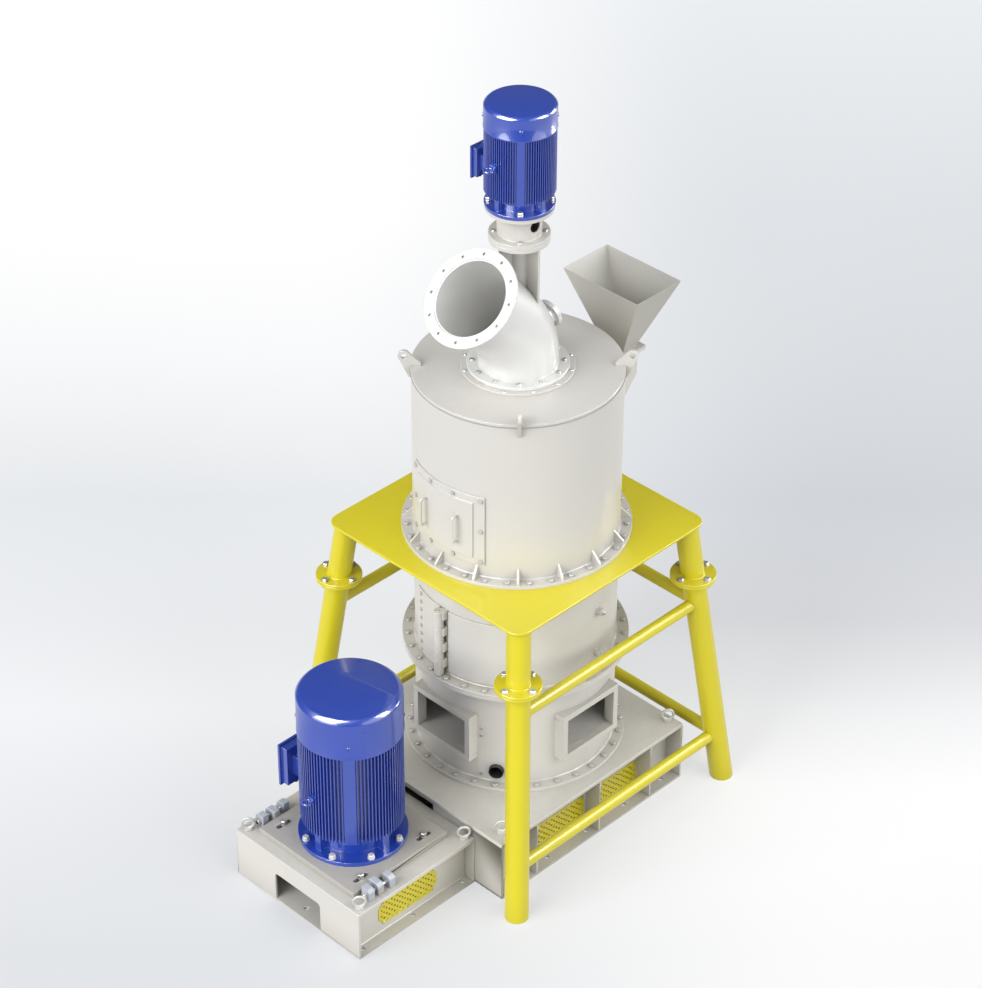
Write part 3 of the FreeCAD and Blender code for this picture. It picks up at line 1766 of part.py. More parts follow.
def access_cover():
    """Curved cover with a raised panel and two bow handles."""
    edge = float(upper_radius())
    face = edge + n.access_thickness
    half = n.access_half_angle
    panel_half = n.access_panel_half_angle
    border = n.access_border
    plate = shell_sector(edge, face, -90 - half, -90 + half, n.access_bottom, n.access_top)
    panel = shell_sector(
        face,
        face + n.access_panel,
        -90 - panel_half,
        -90 + panel_half,
        n.access_bottom + border,
        n.access_top - border,
    )
    handles = [bow_handle(-90 + side * n.handle_angle) for side in (-1, 1)]
    solid = plate.multiFuse([panel] + handles)
    node("access_cover", feature("access_cover_form", solid.removeSplitter()))


def access_bolts():
    """Ten heads round the border of the access cover."""
    face = float(upper_radius()) + n.access_thickness
    inset = n.access_border / 2
    side = n.access_half_angle - math.degrees(inset / face)
    low = n.access_bottom + inset
    high = n.access_top - inset
    spots = [(turn * side, level) for level in (low, high) for turn in (-1, -1 / 3, 1 / 3, 1)]
    spots += [(turn * side, (low + high) / 2) for turn in (-1, 1)]
    heads = []
    for turn, level in spots:
        point = polar(face, -90 + turn, level)
        outward = polar(1, -90 + turn)
        heads.append(hexagon(point, outward, n.small_bolt_across, n.small_bolt_head))
    return heads


def leaf_bolts():
    """One head beside each knuckle on the fixed leaf of the hinge."""
    angle = -90 - n.leaf_bolt_angle
    face = n.casing_bore + n.casing_wall + n.door_thickness
    levels = [n.hinge_bottom + (number + 0.5) * n.knuckle_length for number in range(int(n.knuckle_count))]
    return [
        hexagon(polar(face, angle, level), polar(1, angle), n.leaf_bolt_across, n.leaf_bolt_head)
        for level in levels
    ]


def casing_bolts():
    """The heads on the casing flanges, round the access cover and on the hinge's leaf."""
    count = n.flange_bolt_count
    step = 360 / count
    across = n.flange_bolt_across
    height = n.flange_bolt_head
    rows = (
        (n.lower_flange_radius, n.base_height + n.lower_flange, 0),
        (n.middle_flange_radius, n.middle_joint + n.middle_flange, step / 2),
        (n.platform_flange_radius, n.platform_top + n.upper_flange, step / 2),
    )
    heads = access_bolts() + leaf_bolts()
    for radius, level, first in rows:
        heads += head_ring(radius - n.bolt_inset, level, count, first, across, height)
    node("casing_bolts", group("casing_bolt_group", heads))


# Top cover, outlet elbow and lifting lugs


def cover_level():
    return s.upper_top + s.cover_thickness


def elbow_level():
    return cover_level() + s.outlet_ring


def top_cover():
    """Round cover with a raised ring round its outlet."""
    plates = []
    for name, radius, low, high in (
        ("cover", s.cover_radius, s.upper_top, cover_level()),
        ("ring", s.outlet_ring_radius, cover_level(), elbow_level()),
    ):
        disc = rod(name + "_disc", radius, (low, high))
        bore = rod(name + "_bore", s.outlet_bore, (low - 1, high + 1))
        plates.append(less(name, disc, [bore]))
    doc.recompute()
    node("top_cover", group("cover_plates", [plate.Shape for plate in plates]))


def lifting_lugs():
    """Plates on the diagonals that stand on the cover and run down the casing."""
    top = float(cover_level())
    edge = float(upper_radius())
    hole = vec(n.lug_hole_reach, 0, top + n.lug_hole_height)
    head = n.lug_head_radius
    across = vec(0, n.lug_thickness, 0)
    start = -across / 2
    lean = math.radians(n.lug_lean)
    corners = [
        vec(n.cover_radius - n.lug_foot, 0, top),
        vec(n.cover_radius - n.lug_foot, 0, top + head / 2),
        vec(hole.x - head * math.sin(lean), 0, hole.z + head * math.cos(lean)),
        vec(hole.x + head, 0, hole.z),
        vec(edge + n.lug_heel, 0, top - n.lug_drop),
        vec(edge, 0, top - n.lug_drop),
        vec(edge, 0, top),
    ]
    web = prism([corner + start for corner in corners], across)
    round_head = Part.makeCylinder(head, n.lug_thickness, hole + start, vec(0, 1, 0))
    drill = Part.makeCylinder(n.lug_hole_radius, 3 * n.lug_thickness, hole + start * 3, vec(0, 1, 0))
    rim = Part.makeCylinder(n.cover_radius, n.cover_thickness, vec(0, 0, n.upper_top))
    lug = web.fuse(round_head).cut([drill, rim]).removeSplitter()
    lugs = []
    for number in range(4):
        copy = lug.copy()
        copy.rotate(vec(0, 0, 0), UP, 45 + 90 * number)
        lugs.append(copy)
    node("lifting_lugs", group("lifting_lug_group", lugs))


def elbow_frame():
    """Bend centre, outlet direction and outlet face centre of the elbow, in the YZ plane."""
    angle = math.radians(n.elbow_angle)
    outward = vec(0, -math.sin(angle), math.cos(angle))
    crown = vec(0, 0, n.elbow_crown)
    tangent = n.elbow_bend * math.tan(angle / 2)
    bend_centre = vec(0, -n.elbow_bend, n.elbow_crown - tangent)
    return bend_centre, outward, crown + outward * n.elbow_reach, tangent


def elbow_core(radius):
    """A solid round bar along the elbow's path."""
    bend_centre, outward, mouth, tangent = elbow_frame()
    foot = vec(0, 0, float(elbow_level()))
    knee = vec(0, 0, n.elbow_crown - tangent)
    half = math.radians(n.elbow_angle / 2)
    middle = bend_centre + vec(0, math.cos(half), math.sin(half)) * n.elbow_bend
    leave = vec(0, 0, n.elbow_crown) + outward * tangent
    path = Part.Wire(
        [
            Part.makeLine(foot, knee),
            Part.Arc(knee, middle, leave).toShape(),
            Part.makeLine(leave, mouth),
        ]
    )
    section = Part.Wire(Part.makeCircle(radius, foot, UP))
    return Part.Solid(path.makePipeShell([section], True, False))


def heel_axis():
    """Start and direction of the blanked branch on the elbow's heel."""
    bend_centre = elbow_frame()[0]
    angle = math.radians(n.heel_angle)
    outward = vec(0, math.cos(angle), math.sin(angle))
    surface = bend_centre + outward * (n.elbow_bend + n.outlet_bore + n.outlet_wall)
    return surface, outward


def outlet_elbow():
    """Flanged bend with a drilled outlet flange and a small branch on its heel."""
    outward, mouth = elbow_frame()[1:3]
    foot = vec(0, 0, float(elbow_level()))
    surface, heel_out = heel_axis()
    branch_start = surface - heel_out * n.branch_root
    branch_length = n.branch_root + n.heel_reach
    heel_face = surface + heel_out * (n.heel_reach - n.heel_flange)
    bore = elbow_core(n.outlet_bore)
    pipe_radius = n.outlet_bore + n.outlet_wall
    outer = elbow_core(pipe_radius)
    recess = Part.makeCylinder(pipe_radius, n.outlet_recess, mouth, -outward)
    pieces = [
        Part.makeCylinder(n.outlet_flange_radius, n.outlet_flange, foot),
        Part.makeCylinder(n.outlet_flange_radius, n.outlet_flange, mouth, -outward),
        Part.makeCylinder(n.heel_radius, branch_length, branch_start, heel_out),
        Part.makeCylinder(n.heel_flange_radius, n.heel_flange, heel_face, heel_out),
    ]
    stand = Part.makeCylinder(n.stand_radius, n.stand_top - foot.z, foot)
    branch_bore = Part.makeCylinder(
        n.heel_radius - n.heel_wall, branch_length + 1, branch_start, heel_out
    )
    sideways = vec(1, 0, 0)
    upward = outward.cross(sideways)
    drills = []
    pitch = 2 * math.pi / n.outlet_hole_count
    for number in range(int(n.outlet_hole_count)):
        turn = pitch * (number + 0.5)
        spoke = sideways * math.cos(turn) + upward * math.sin(turn)
        start = mouth + spoke * n.outlet_bolt_circle + outward
        drills.append(Part.makeCylinder(n.outlet_hole_radius, n.outlet_flange + 2, start, -outward))
    solid = outer.multiFuse(pieces).cut([bore, recess, stand, branch_bore] + drills)
    node("outlet_elbow", feature("elbow_form", solid.removeSplitter()))


def heel_cover():
    surface, heel_out = heel_axis()
    foot = surface + heel_out * n.heel_reach
    disc = Part.makeCylinder(n.heel_flange_radius, n.heel_flange, foot, heel_out)
    node("heel_cover", feature("heel_cover_form", disc))


# Classifier drive


def classifier_stand():
    """Bearing tube through the elbow, with a ribbed flange above it."""
    low = s.stand_bottom
    high = s.stand_top
    tube = turned(
        "stand_tube",
        [
            (s.stand_bore, low),
            (s.stand_radius, low),
            (s.stand_radius, high - s.stand_flange),
            (s.stand_flange_radius, high - s.stand_flange),
            (s.stand_flange_radius, high),
            (s.stand_bore, high),
        ],
    )
    doc.recompute()
    top = n.stand_top - n.stand_flange
    root = n.stand_radius - n.stand_rib / 2
    ribs = []
    for number in range(4):
        rib = Part.makeBox(
            n.stand_rib_reach - root,
            n.stand_rib,
            top - n.stand_rib_foot,
            vec(root, -n.stand_rib / 2, n.stand_rib_foot),
        )
        rib.rotate(vec(0, 0, 0), UP, 90 * number)
        ribs.append(rib)
    tube_bore = Part.makeCylinder(n.stand_bore, n.stand_top, vec(0, 0, 0))
    elbow = elbow_core(n.outlet_bore + n.outlet_wall)
    ribs = [rib.cut([elbow, tube_bore]) for rib in ribs]
    solid = tube.Shape.multiFuse(ribs)
    node("classifier_stand", feature("stand_form", solid.removeSplitter()))


def motor_lantern():
    """Pipe between stand and motor, with an oval window on two sides."""
    low = s.stand_top
    high = s.lantern_top
    inner = s.lantern_radius - s.lantern_wall
    body = turned(
        "lantern_body",
        [
            (inner, low),
            (s.stand_flange_radius, low),
            (s.stand_flange_radius, low + s.stand_flange),
            (s.lantern_radius, low + s.stand_flange),
            (s.lantern_radius, high - s.stand_flange),
            (s.lantern_top_radius, high - s.stand_flange),
            (s.lantern_top_radius, high),
            (inner, high),
        ],
    )
    hole = doc.addObject("Part::Cylinder", "lantern_window")
    bind(hole, "Radius", s.lantern_window_half)
    bind(hole, "Height", s.lantern_radius * 2 + 2)
    level = n.lantern_window_level
    start = vec(-n.lantern_radius - 1, 0, level)
    hole.Placement = FreeCAD.Placement(start, FreeCAD.Rotation(UP, vec(1, 0, 0)))
    bind(hole, "Placement.Base.x", -s.lantern_radius - 1)
    bind(hole, "Placement.Base.z", s.lantern_window_level)
    node("motor_lantern", less("lantern", body, [hole]))


def head_bolts():
    """Heads on the elbow's foot, the lantern's flange and the top motor's flange."""
    elbow_top = float(elbow_level()) + n.outlet_flange
    lantern_top = n.stand_top + n.stand_flange
    motor_top = n.lantern_top + n.top_flange_thickness
    across = n.small_bolt_across
    height = n.small_bolt_head
    heads = head_ring(n.outlet_bolt_circle, elbow_top, n.outlet_hole_count, -45, across, height)
    heads += head_ring(n.stand_bolt_circle, lantern_top, n.stand_bolt_count, -45, across, height)
    across = n.small_motor_bolt_across
    height = n.small_motor_bolt_head
    heads += head_ring(n.top_bolt_circle, motor_top, n.top_bolt_count, -45, across, height)
    node("head_bolts", group("head_bolt_group", heads))


def drive_coupling():
    """Two coupling halves with a groove between them, over both shaft ends."""
    low = s.coupling_low
    high = s.coupling_high
    shaft_end = s.classifier_shaft_top
    motor_end = s.lantern_top - s.top_shaft_length
    middle = (low + high) / 2
    half = s.coupling_groove / 2
    inner = s.coupling_radius - s.coupling_groove
    body = turned(
        "coupling_body",
        [
            (s.classifier_shaft_radius, low),
            (s.coupling_radius, low),
            (s.coupling_radius, middle - half),
            (inner, middle - half),
            (inner, middle + half),
            (s.coupling_radius, middle + half),
            (s.coupling_radius, high),
            (s.top_shaft_radius, high),
            (s.top_shaft_radius, motor_end),
            (sized(0), motor_end),
            (sized(0), shaft_end),
            (s.classifier_shaft_radius, shaft_end),
        ],
    )
    node("drive_coupling", body)


def classifier_shaft():
    low = s.wheel_bottom - s.shaft_tail
    seat = s.wheel_bottom + s.wheel_hub_height
    radius = s.classifier_shaft_radius
    collar = s.classifier_collar_radius
    body = turned(
        "classifier_shaft_body",
        [
            (sized(0), low),
            (radius, low),
            (radius, seat),
            (collar, seat),
            (collar, seat + s.classifier_collar),
            (radius, seat + s.classifier_collar),
            (radius, s.classifier_shaft_top),
            (sized(0), s.classifier_shaft_top),
        ],
    )
    node("classifier_shaft", body)


def classifier_wheel():
    """Bottom disc on a hub, upright blades and an open top ring."""
    low = s.wheel_bottom
    plate = low + s.wheel_plate
    bore = s.classifier_shaft_radius
    body = turned(
        "wheel_disc",
        [
            (bore, low),
            (s.wheel_radius, low),
            (s.wheel_radius, plate),
            (s.wheel_hub_radius, plate),
            (s.wheel_hub_radius, low + s.wheel_hub_height),
            (bore, low + s.wheel_hub_height),
        ],
    )
    half = s.blade_thickness / 2
    root = s.wheel_radius - s.blade_depth
    blade = [(root, -half), (s.wheel_radius, -half), (s.wheel_radius, half), (root, half)]
    height = s.wheel_top - s.wheel_plate - plate
    pad_pattern(body, "blade", blade, plate, height, s.blade_count)
    ring_level = (s.wheel_top - s.wheel_plate, s.wheel_top)
    ring = rod("wheel_ring", s.wheel_radius, ring_level)
    bore_level = (ring_level[0] - 1, ring_level[1] + 1)
    ring = less("wheel_open_ring", ring, [rod("wheel_ring_bore", s.wheel_bore, bore_level)])
    node("classifier_wheel", joined("wheel", [body, ring]))


# Feed hopper and chute


def pyramid(low_half, low, high_half, high):
    """A solid with a rectangle at each of two heights and four flat sides between them."""
    rings = []
    for (half_x, half_y), level in ((low_half, low), (high_half, high)):
        corners = [(-half_x, -half_y), (half_x, -half_y), (half_x, half_y), (-half_x, half_y)]
        rings.append([vec(x, n.hopper_centre + y, level) for x, y in corners])
    outlines = [rings[0][::-1], rings[1]]
    for first in range(4):
        second = (first + 1) % 4
        outlines.append([rings[0][first], rings[0][second], rings[1][second], rings[1][first]])
    faces = [Part.Face(Part.makePolygon(outline + outline[:1])) for outline in outlines]
    return Part.Solid(Part.Shell(faces))


def hopper():
    """Open sheet pyramid with a flange at its throat."""
    wall = n.sheet_wall
    mouth = (n.hopper_mouth_x, n.hopper_mouth_y)
    throat = (n.hopper_throat_x, n.hopper_throat_y)
    inner_mouth = (mouth[0] - wall, mouth[1] - wall)
    inner_throat = (throat[0] - wall, throat[1] - wall)
    outer = pyramid(throat, n.hopper_bottom, mouth, n.hopper_top)
    inner = pyramid(inner_throat, n.hopper_bottom, inner_mouth, n.hopper_top)
    lip = n.throat_flange_lip
    foot = n.hopper_bottom - n.throat_flange
    width = 2 * (throat[0] + lip)
    depth = 2 * (throat[1] + lip)
    corner = vec(-width / 2, n.hopper_centre - depth / 2, foot)
    flange = Part.makeBox(width, depth, n.throat_flange, corner)
    hole_corner = vec(-inner_throat[0], n.hopper_centre - inner_throat[1], foot - 1)
    hole = Part.makeBox(2 * inner_throat[0], 2 * inner_throat[1], n.throat_flange + 2, hole_corner)
    solid = outer.cut(inner).fuse(flange).cut(hole)
    node("hopper", feature("hopper_form", solid.removeSplitter()))


def chute_solid(grow):
    """The chute's outside grown by a distance: an upright leg, then a sloped one into the casing."""
    half_x = n.hopper_throat_x + n.chute_wall
    half_y = n.hopper_throat_y + n.chute_wall
    top = n.hopper_bottom - n.throat_flange
    far = n.hopper_centre + half_y
    near = n.hopper_centre - half_y
    inside = n.casing_bore - n.chute_reach
    slope = n.chute_drop / (far - inside)
    spread = grow * math.hypot(1, slope)
    mitre = (far - near) / (slope + math.hypot(1, slope))

    def under(y):
        return n.chute_knee - (far - y) * slope - spread

    def over(y):
        return n.chute_knee + mitre - (near - y) * slope + spread

    low = [(far + grow, top), (far + grow, under(far + grow)), (inside, under(inside))]
    high = [(inside, over(inside)), (near - grow, over(near - grow)), (near - grow, top)]
    outline = [vec(-half_x - grow, y, z) for y, z in low + high]
    return prism(outline, vec(2 * (half_x + grow), 0, 0))


def feed_chute():
    """Square duct from the hopper's throat down into the upper casing."""
    top = n.hopper_bottom - n.throat_flange
    shell = Part.makeCylinder(float(upper_radius()), n.upper_top, vec(0, 0, 0))
    inner = chute_solid(-n.chute_wall)
    duct = chute_solid(0).cut([inner, shell])
    lip = n.throat_flange_lip
    width = 2 * (n.hopper_throat_x + lip)
    depth = 2 * (n.hopper_throat_y + lip)
    corner = vec(-width / 2, n.hopper_centre - depth / 2, top - n.throat_flange)
    flange = Part.makeBox(width, depth, n.throat_flange, corner).cut(inner)
    node("feed_chute", feature("feed_chute_form", duct.fuse(flange).removeSplitter()))


def check_document():
    """Stops with the names of the objects that failed to build."""
    doc.recompute()
    broken = [thing.Name for thing in doc.Objects if {"Invalid", "Error"} & set(thing.State)]
    if broken:
        raise RuntimeError("failed objects: " + ", ".join(broken))
    bad = [name for name, thing in nodes.items() if thing.Shape.isNull() or not thing.Shape.isValid()]
    if bad:
        raise RuntimeError("bad shapes: " + ", ".join(bad))


def write_parts():
    os.makedirs("parts", exist_ok=True)
    for name, thing in nodes.items():
        thing.Shape.exportStep(f"parts/{name}.step")


platform_plate()
legs()
leg_braces()
leg_joint_bolts()
main_base()
motor_base()
belt_guards()
eye_bolts()
motor_slide_plate()
jack_screws()
slide_bolts()
motors()
main_motor_bolts()
mill_pulley()
motor_pulley()
v_belts()
main_shaft()
bearing_housing()
bearings()
roller_cage()
rollers()
grinding_rings()
lower_casing()
air_duct()
middle_casing()
hinge_leaf()
hinge_pin()
middle_door()
door_bolts()
upper_casing()
access_cover()
casing_bolts()
top_cover()
lifting_lugs()
outlet_elbow()
heel_cover()
classifier_stand()
motor_lantern()
head_bolts()
drive_coupling()
classifier_shaft()
classifier_wheel()
hopper()
feed_chute()
check_document()
write_parts()
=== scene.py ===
import json
import math

import bmesh
import bpy
from mathutils import Matrix, Vector


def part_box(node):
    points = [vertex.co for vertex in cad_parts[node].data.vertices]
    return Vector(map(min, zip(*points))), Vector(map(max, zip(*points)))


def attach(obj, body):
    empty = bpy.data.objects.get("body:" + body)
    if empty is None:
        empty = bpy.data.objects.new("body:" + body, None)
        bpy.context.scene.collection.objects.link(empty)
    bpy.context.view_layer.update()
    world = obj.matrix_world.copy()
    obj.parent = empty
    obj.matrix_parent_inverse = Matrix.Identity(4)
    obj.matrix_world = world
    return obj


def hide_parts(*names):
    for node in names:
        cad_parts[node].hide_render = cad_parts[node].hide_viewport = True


# Ring roller mill: the looks of the CAD model, in metres and in its frame.
# The sections follow the machine from the floor up, then the floor, the light and the camera.

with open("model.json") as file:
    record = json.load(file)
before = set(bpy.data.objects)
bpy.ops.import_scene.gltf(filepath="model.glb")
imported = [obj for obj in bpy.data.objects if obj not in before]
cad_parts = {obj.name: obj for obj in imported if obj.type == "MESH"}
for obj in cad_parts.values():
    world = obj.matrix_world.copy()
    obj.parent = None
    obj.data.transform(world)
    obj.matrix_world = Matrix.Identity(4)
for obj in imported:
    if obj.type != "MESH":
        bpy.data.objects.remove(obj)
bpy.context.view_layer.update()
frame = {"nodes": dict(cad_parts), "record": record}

# Welded bases under the mill and its motor
# Steel plate of 14 to 25 mm, cut square and fillet-welded into two open-sided boxes that are bolted to
# the floor through their side bays. They are sprayed with one coat of off-white machine enamel.

BODIES = frame["record"]["behaviour"]["bodies"]
X_AXIS = Vector((1, 0, 0))
Y_AXIS = Vector((0, 1, 0))
Z_AXIS = Vector((0, 0, 1))


def linear(code):
    """An sRGB hex colour as linear red, green, blue and alpha."""
    shares = [int(code[place:place + 2], 16) / 255 for place in (1, 3, 5)]
    levels = [
        share / 12.92 if share <= 0.04045 else ((share + 0.055) / 1.055) ** 2.4
        for share in shares
    ]
    return (*levels, 1)


def add(tree, kind, settings=None, inputs=None):
    """A new node with its settings, and its inputs set to values or linked to sockets."""
    made = tree.nodes.new(kind)
    for name, value in (settings or {}).items():
        setattr(made, name, value)
    for name, value in (inputs or {}).items():
        if isinstance(value, bpy.types.NodeSocket):
            tree.links.new(value, made.inputs[name])
        else:
            made.inputs[name].default_value = value
    return made


def blank_material(name):
    """A new material, its emptied node tree, and Object coordinates in it."""
    made = bpy.data.materials.new(name)
    made.use_nodes = True
    tree = made.node_tree
    tree.nodes.clear()
    place = add(tree, "ShaderNodeTexCoord").outputs["Object"]
    return made, tree, place


# Sprayed enamel: fine orange peel of 2 mm, a slow change of tone where the coat is thicker, grey specks
# like mill dust on the faces that look up, which also darken them as painted shade, and painted shade
# in the corners within a hand's reach
PEEL_SCALE = 450
TONE_SCALE = 1.3
SHEEN_SCALE = 9
DUST_AND_SHADE_SCALE = 22
# Grey of the dust specks, also the colour of the painted shade on upward faces and in corners
DUST_AND_SHADE = "#8C8A84"
DUST_AND_SHADE_FACING = 0.6
# Painted shade in corners: how far each point looks for near faces, and with how many rays
CORNER_SHADE_REACH = 0.22
CORNER_SHADE_SAMPLES = 6
PEEL_HEIGHT = 0.0003
SHEEN_SPREAD = 0.06
COAT_ROUGHNESS = 0.03
COAT_IOR = 1.6


# The last argument sets how dark the painted shade in corners gets
def enamel(name, light, dark, roughness, coat, peel, dust_and_shade=0.2, corners=0.5):
    """Sprayed machine enamel with a clear top coat, and painted shade on upward faces and in corners.
    """
    made, tree, place = blank_material(name)
    tone = add(tree, "ShaderNodeTexNoise", inputs={"Vector": place, "Scale": TONE_SCALE, "Detail": 3})
    sheen = add(tree, "ShaderNodeTexNoise", inputs={"Vector": place, "Scale": SHEEN_SCALE, "Detail": 5})
    skin = add(tree, "ShaderNodeTexNoise", inputs={"Vector": place, "Scale": PEEL_SCALE, "Detail": 1})
    specks = add(tree, "ShaderNodeTexNoise", inputs={"Vector": place, "Scale": DUST_AND_SHADE_SCALE, "Detail": 8})
    facing = add(tree, "ShaderNodeNewGeometry").outputs["Normal"]
    height = add(tree, "ShaderNodeSeparateXYZ", inputs={"Vector": facing}).outputs["Z"]
    # Faces that look up get grey specks that darken them: dust, and painted shade of the top faces
    upward = add(
        tree,
        "ShaderNodeMapRange",
        inputs={"Value": height, "From Min": DUST_AND_SHADE_FACING, "To Min": 0.0, "To Max": dust_and_shade},
    )
    settled_and_shaded = add(
        tree,
        "ShaderNodeMath",
        {"operation": "MULTIPLY"},
        {0: upward.outputs["Result"], 1: specks.outputs["Fac"]},
    )
    paint = add(
        tree,
        "ShaderNodeMix",
        {"data_type": "RGBA"},
        {0: tone.outputs["Fac"], 6: linear(light), 7: linear(dark)},
    )
    dusty_and_shaded = add(
        tree,
        "ShaderNodeMix",
        {"data_type": "RGBA"},
        {0: settled_and_shaded.outputs[0], 6: paint.outputs[2], 7: linear(DUST_AND_SHADE)},
    )
    # Painted shade: the paint turns darker where other faces are near, in corners and recesses
    closeness = add(
        tree,
        "ShaderNodeAmbientOcclusion",
        {"samples": CORNER_SHADE_SAMPLES},
        {"Distance": CORNER_SHADE_REACH},
    )
    corner_shade = add(
        tree,
        "ShaderNodeMapRange",
        inputs={"Value": closeness.outputs["AO"], "To Min": corners, "To Max": 0.0},
    )
    corner_shaded = add(
        tree,
        "ShaderNodeMix",
        {"data_type": "RGBA", "blend_type": "MULTIPLY"},
        {0: corner_shade.outputs["Result"], 6: dusty_and_shaded.outputs[2], 7: linear(DUST_AND_SHADE)},
    )
    bump = add(
        tree,
        "ShaderNodeBump",
        inputs={"Height": skin.outputs["Fac"], "Strength": peel, "Distance": PEEL_HEIGHT},
    )
    gloss = add(
        tree,
        "ShaderNodeMapRange",
        inputs={
            "Value": sheen.outputs["Fac"],
            "To Min": roughness - SHEEN_SPREAD,
            "To Max": roughness + SHEEN_SPREAD,
        },
    )
    shader = add(
        tree,
        "ShaderNodeBsdfPrincipled",
        inputs={
            "Base Color": corner_shaded.outputs[2],
            "Roughness": gloss.outputs["Result"],
            "Normal": bump.outputs["Normal"],
            "Coat Weight": coat,
            "Coat Roughness": COAT_ROUGHNESS,
            "Coat IOR": COAT_IOR,
        },
    )
    add(tree, "ShaderNodeOutputMaterial", inputs={"Surface": shader.outputs["BSDF"]})
    return made


# Off-white enamel: satin, so that it shows soft shading and no mirror image
off_white = enamel("off_white_machine_enamel", "#E4E1DA", "#DAD8D2", 0.42, 0.1, 0.3)


def owner(node):
    """The body that a CAD node rides on."""
    return next(body for body, nodes in BODIES.items() if node in nodes)


def finished(shape, name, material, smooth=30):
    """Turns a bmesh into an object with round shading up to an angle in degrees."""
    bmesh.ops.recalc_face_normals(shape, faces=shape.faces)
    mesh = bpy.data.meshes.new(name)
    shape.to_mesh(mesh)
    shape.free()
    if "custom_normal" in mesh.attributes:
        mesh.attributes.remove(mesh.attributes["custom_normal"])
    mesh.shade_smooth()
    mesh.set_sharp_from_angle(angle=math.radians(smooth))
    mesh.materials.append(material)
    piece = bpy.data.objects.new(name, mesh)
    bpy.context.scene.collection.objects.link(piece)
    return piece


FLAT_WITHIN = math.radians(0.5)
SHARP_OVER = math.radians(30)
EDGE_SEGMENTS = 2


def soften(piece, width):
    """Rounds the sharp edges as a grinder and a coat of paint do, with the flat faces kept flat."""
    plain = piece.modifiers.new("planes", "DECIMATE")
    plain.decimate_type = "DISSOLVE"
    plain.angle_limit = FLAT_WITHIN
    bevel = piece.modifiers.new("edges", "BEVEL")
    bevel.width = width
    bevel.segments = EDGE_SEGMENTS
    bevel.limit_method = "ANGLE"
    bevel.angle_limit = SHARP_OVER
    bevel.use_clamp_overlap = False
    flat = piece.modifiers.new("flats", "WEIGHTED_NORMAL")
    flat.mode = "FACE_AREA"
    flat.weight = 100
    flat.keep_sharp = True
    return piece


# Corners as close as this are one
MERGED_WITHIN = 0.00001


def copied(node):
    """A CAD node's mesh with its doubles merged, and the faces where two solids touch taken out."""
    shape = bmesh.new()
    shape.from_mesh(frame["nodes"][node].data)
    bmesh.ops.remove_doubles(shape, verts=shape.verts, dist=MERGED_WITHIN)
    met = {}
    for face in shape.faces:
        met.setdefault(frozenset(face.verts), []).append(face)
    twins = [face for faces in met.values() if len(faces) > 1 for face in faces]
    bmesh.ops.delete(shape, geom=twins, context="FACES")
    return shape


def placed(piece, node):
    """Lets a piece stand for a CAD node, on its body, with the node hidden."""
    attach(piece, owner(node))
    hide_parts(node)
    return piece


def dressed(node, material, width=0.0015):
    """A copy of a CAD node with softened edges and a finish."""
    piece = finished(copied(node), node + "_finished", material)
    return placed(soften(piece, width), node)


def added(piece, body):
    """Lets a new piece ride on a body."""
    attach(piece, body)


# A fillet with a full, rounded face, as angles and shares of its leg. Every second of its 8 mm steps
# stands up a little: a ripple, drawn coarser than a real one so that it shows
WELD_SECTION = ((0, 1), (30, 0.88), (60, 0.88), (90, 1))
WELD_STEP = 0.008
WELD_RIPPLE_RISE = 0.07
WELD_SMOOTH = 60


def bead(shape, corner, first, second, size, travel=None, centre=None, axis=None, turn=0):
    """A rippled fillet weld in the corner between two sides, along a line or round an axis."""
    profile = []
    for lean, share in WELD_SECTION:
        angle = math.radians(lean)
        reach = (first * math.cos(angle) + second * math.sin(angle)) * size * share
        profile.append(shape.verts.new(corner + reach))
    edges = [shape.edges.new(pair) for pair in zip(profile, profile[1:])]
    if travel is None:
        radius = (corner - centre).cross(axis).length
        steps = max(2, round(radius * abs(turn) / WELD_STEP))
        spun = {"cent": centre, "axis": axis, "angle": turn, "steps": steps}
    else:
        steps = max(2, round(travel.length / WELD_STEP))
        spun = {"cent": corner, "axis": Z_AXIS, "angle": 0, "steps": steps, "dvec": travel / steps}
    known = len(shape.verts)
    bmesh.ops.spin(shape, geom=profile + edges, use_merge=False, use_duplicate=False, **spun)
    shape.verts.ensure_lookup_table()
    for number in range(known, len(shape.verts), 2 * len(profile)):
        for vert in shape.verts[number + 1:number + 3]:
            vert.co += (first + second) * size * WELD_RIPPLE_RISE


def ring_bead(shape, radius, level, size, side):
    """A fillet weld round the mill's axis, between a shell and a flange above or below it."""
    corner = X_AXIS * radius + Z_AXIS * level
    bead(shape, corner, X_AXIS, Z_AXIS * side, size, centre=Vector(), axis=Z_AXIS, turn=math.tau)


def islands(node):
    """The separate solids of a CAD node, each as its corners' places, in the same order each run."""
    shape = bmesh.new()
    shape.from_mesh(frame["nodes"][node].data)
    bmesh.ops.remove_doubles(shape, verts=shape.verts, dist=MERGED_WITHIN)
    reached = set()
    found = []
    for start in shape.verts:
        if start in reached:
            continue
        reached.add(start)
        group = [start]
        for vert in group:
            for edge in vert.link_edges:
                other = edge.other_vert(vert)
                if other not in reached:
                    reached.add(other)
                    group.append(other)
        found.append([vert.co.copy() for vert in group])
    shape.free()
    return found


def extent(corners):
    """Lowest and highest corner of a set of points."""
    low = Vector(min(corner[axis] for corner in corners) for axis in range(3))
    high = Vector(max(corner[axis] for corner in corners) for axis in range(3))
    return low, high


for base in ("main_base", "motor_base"):
    dressed(base, off_white, 0.0025)

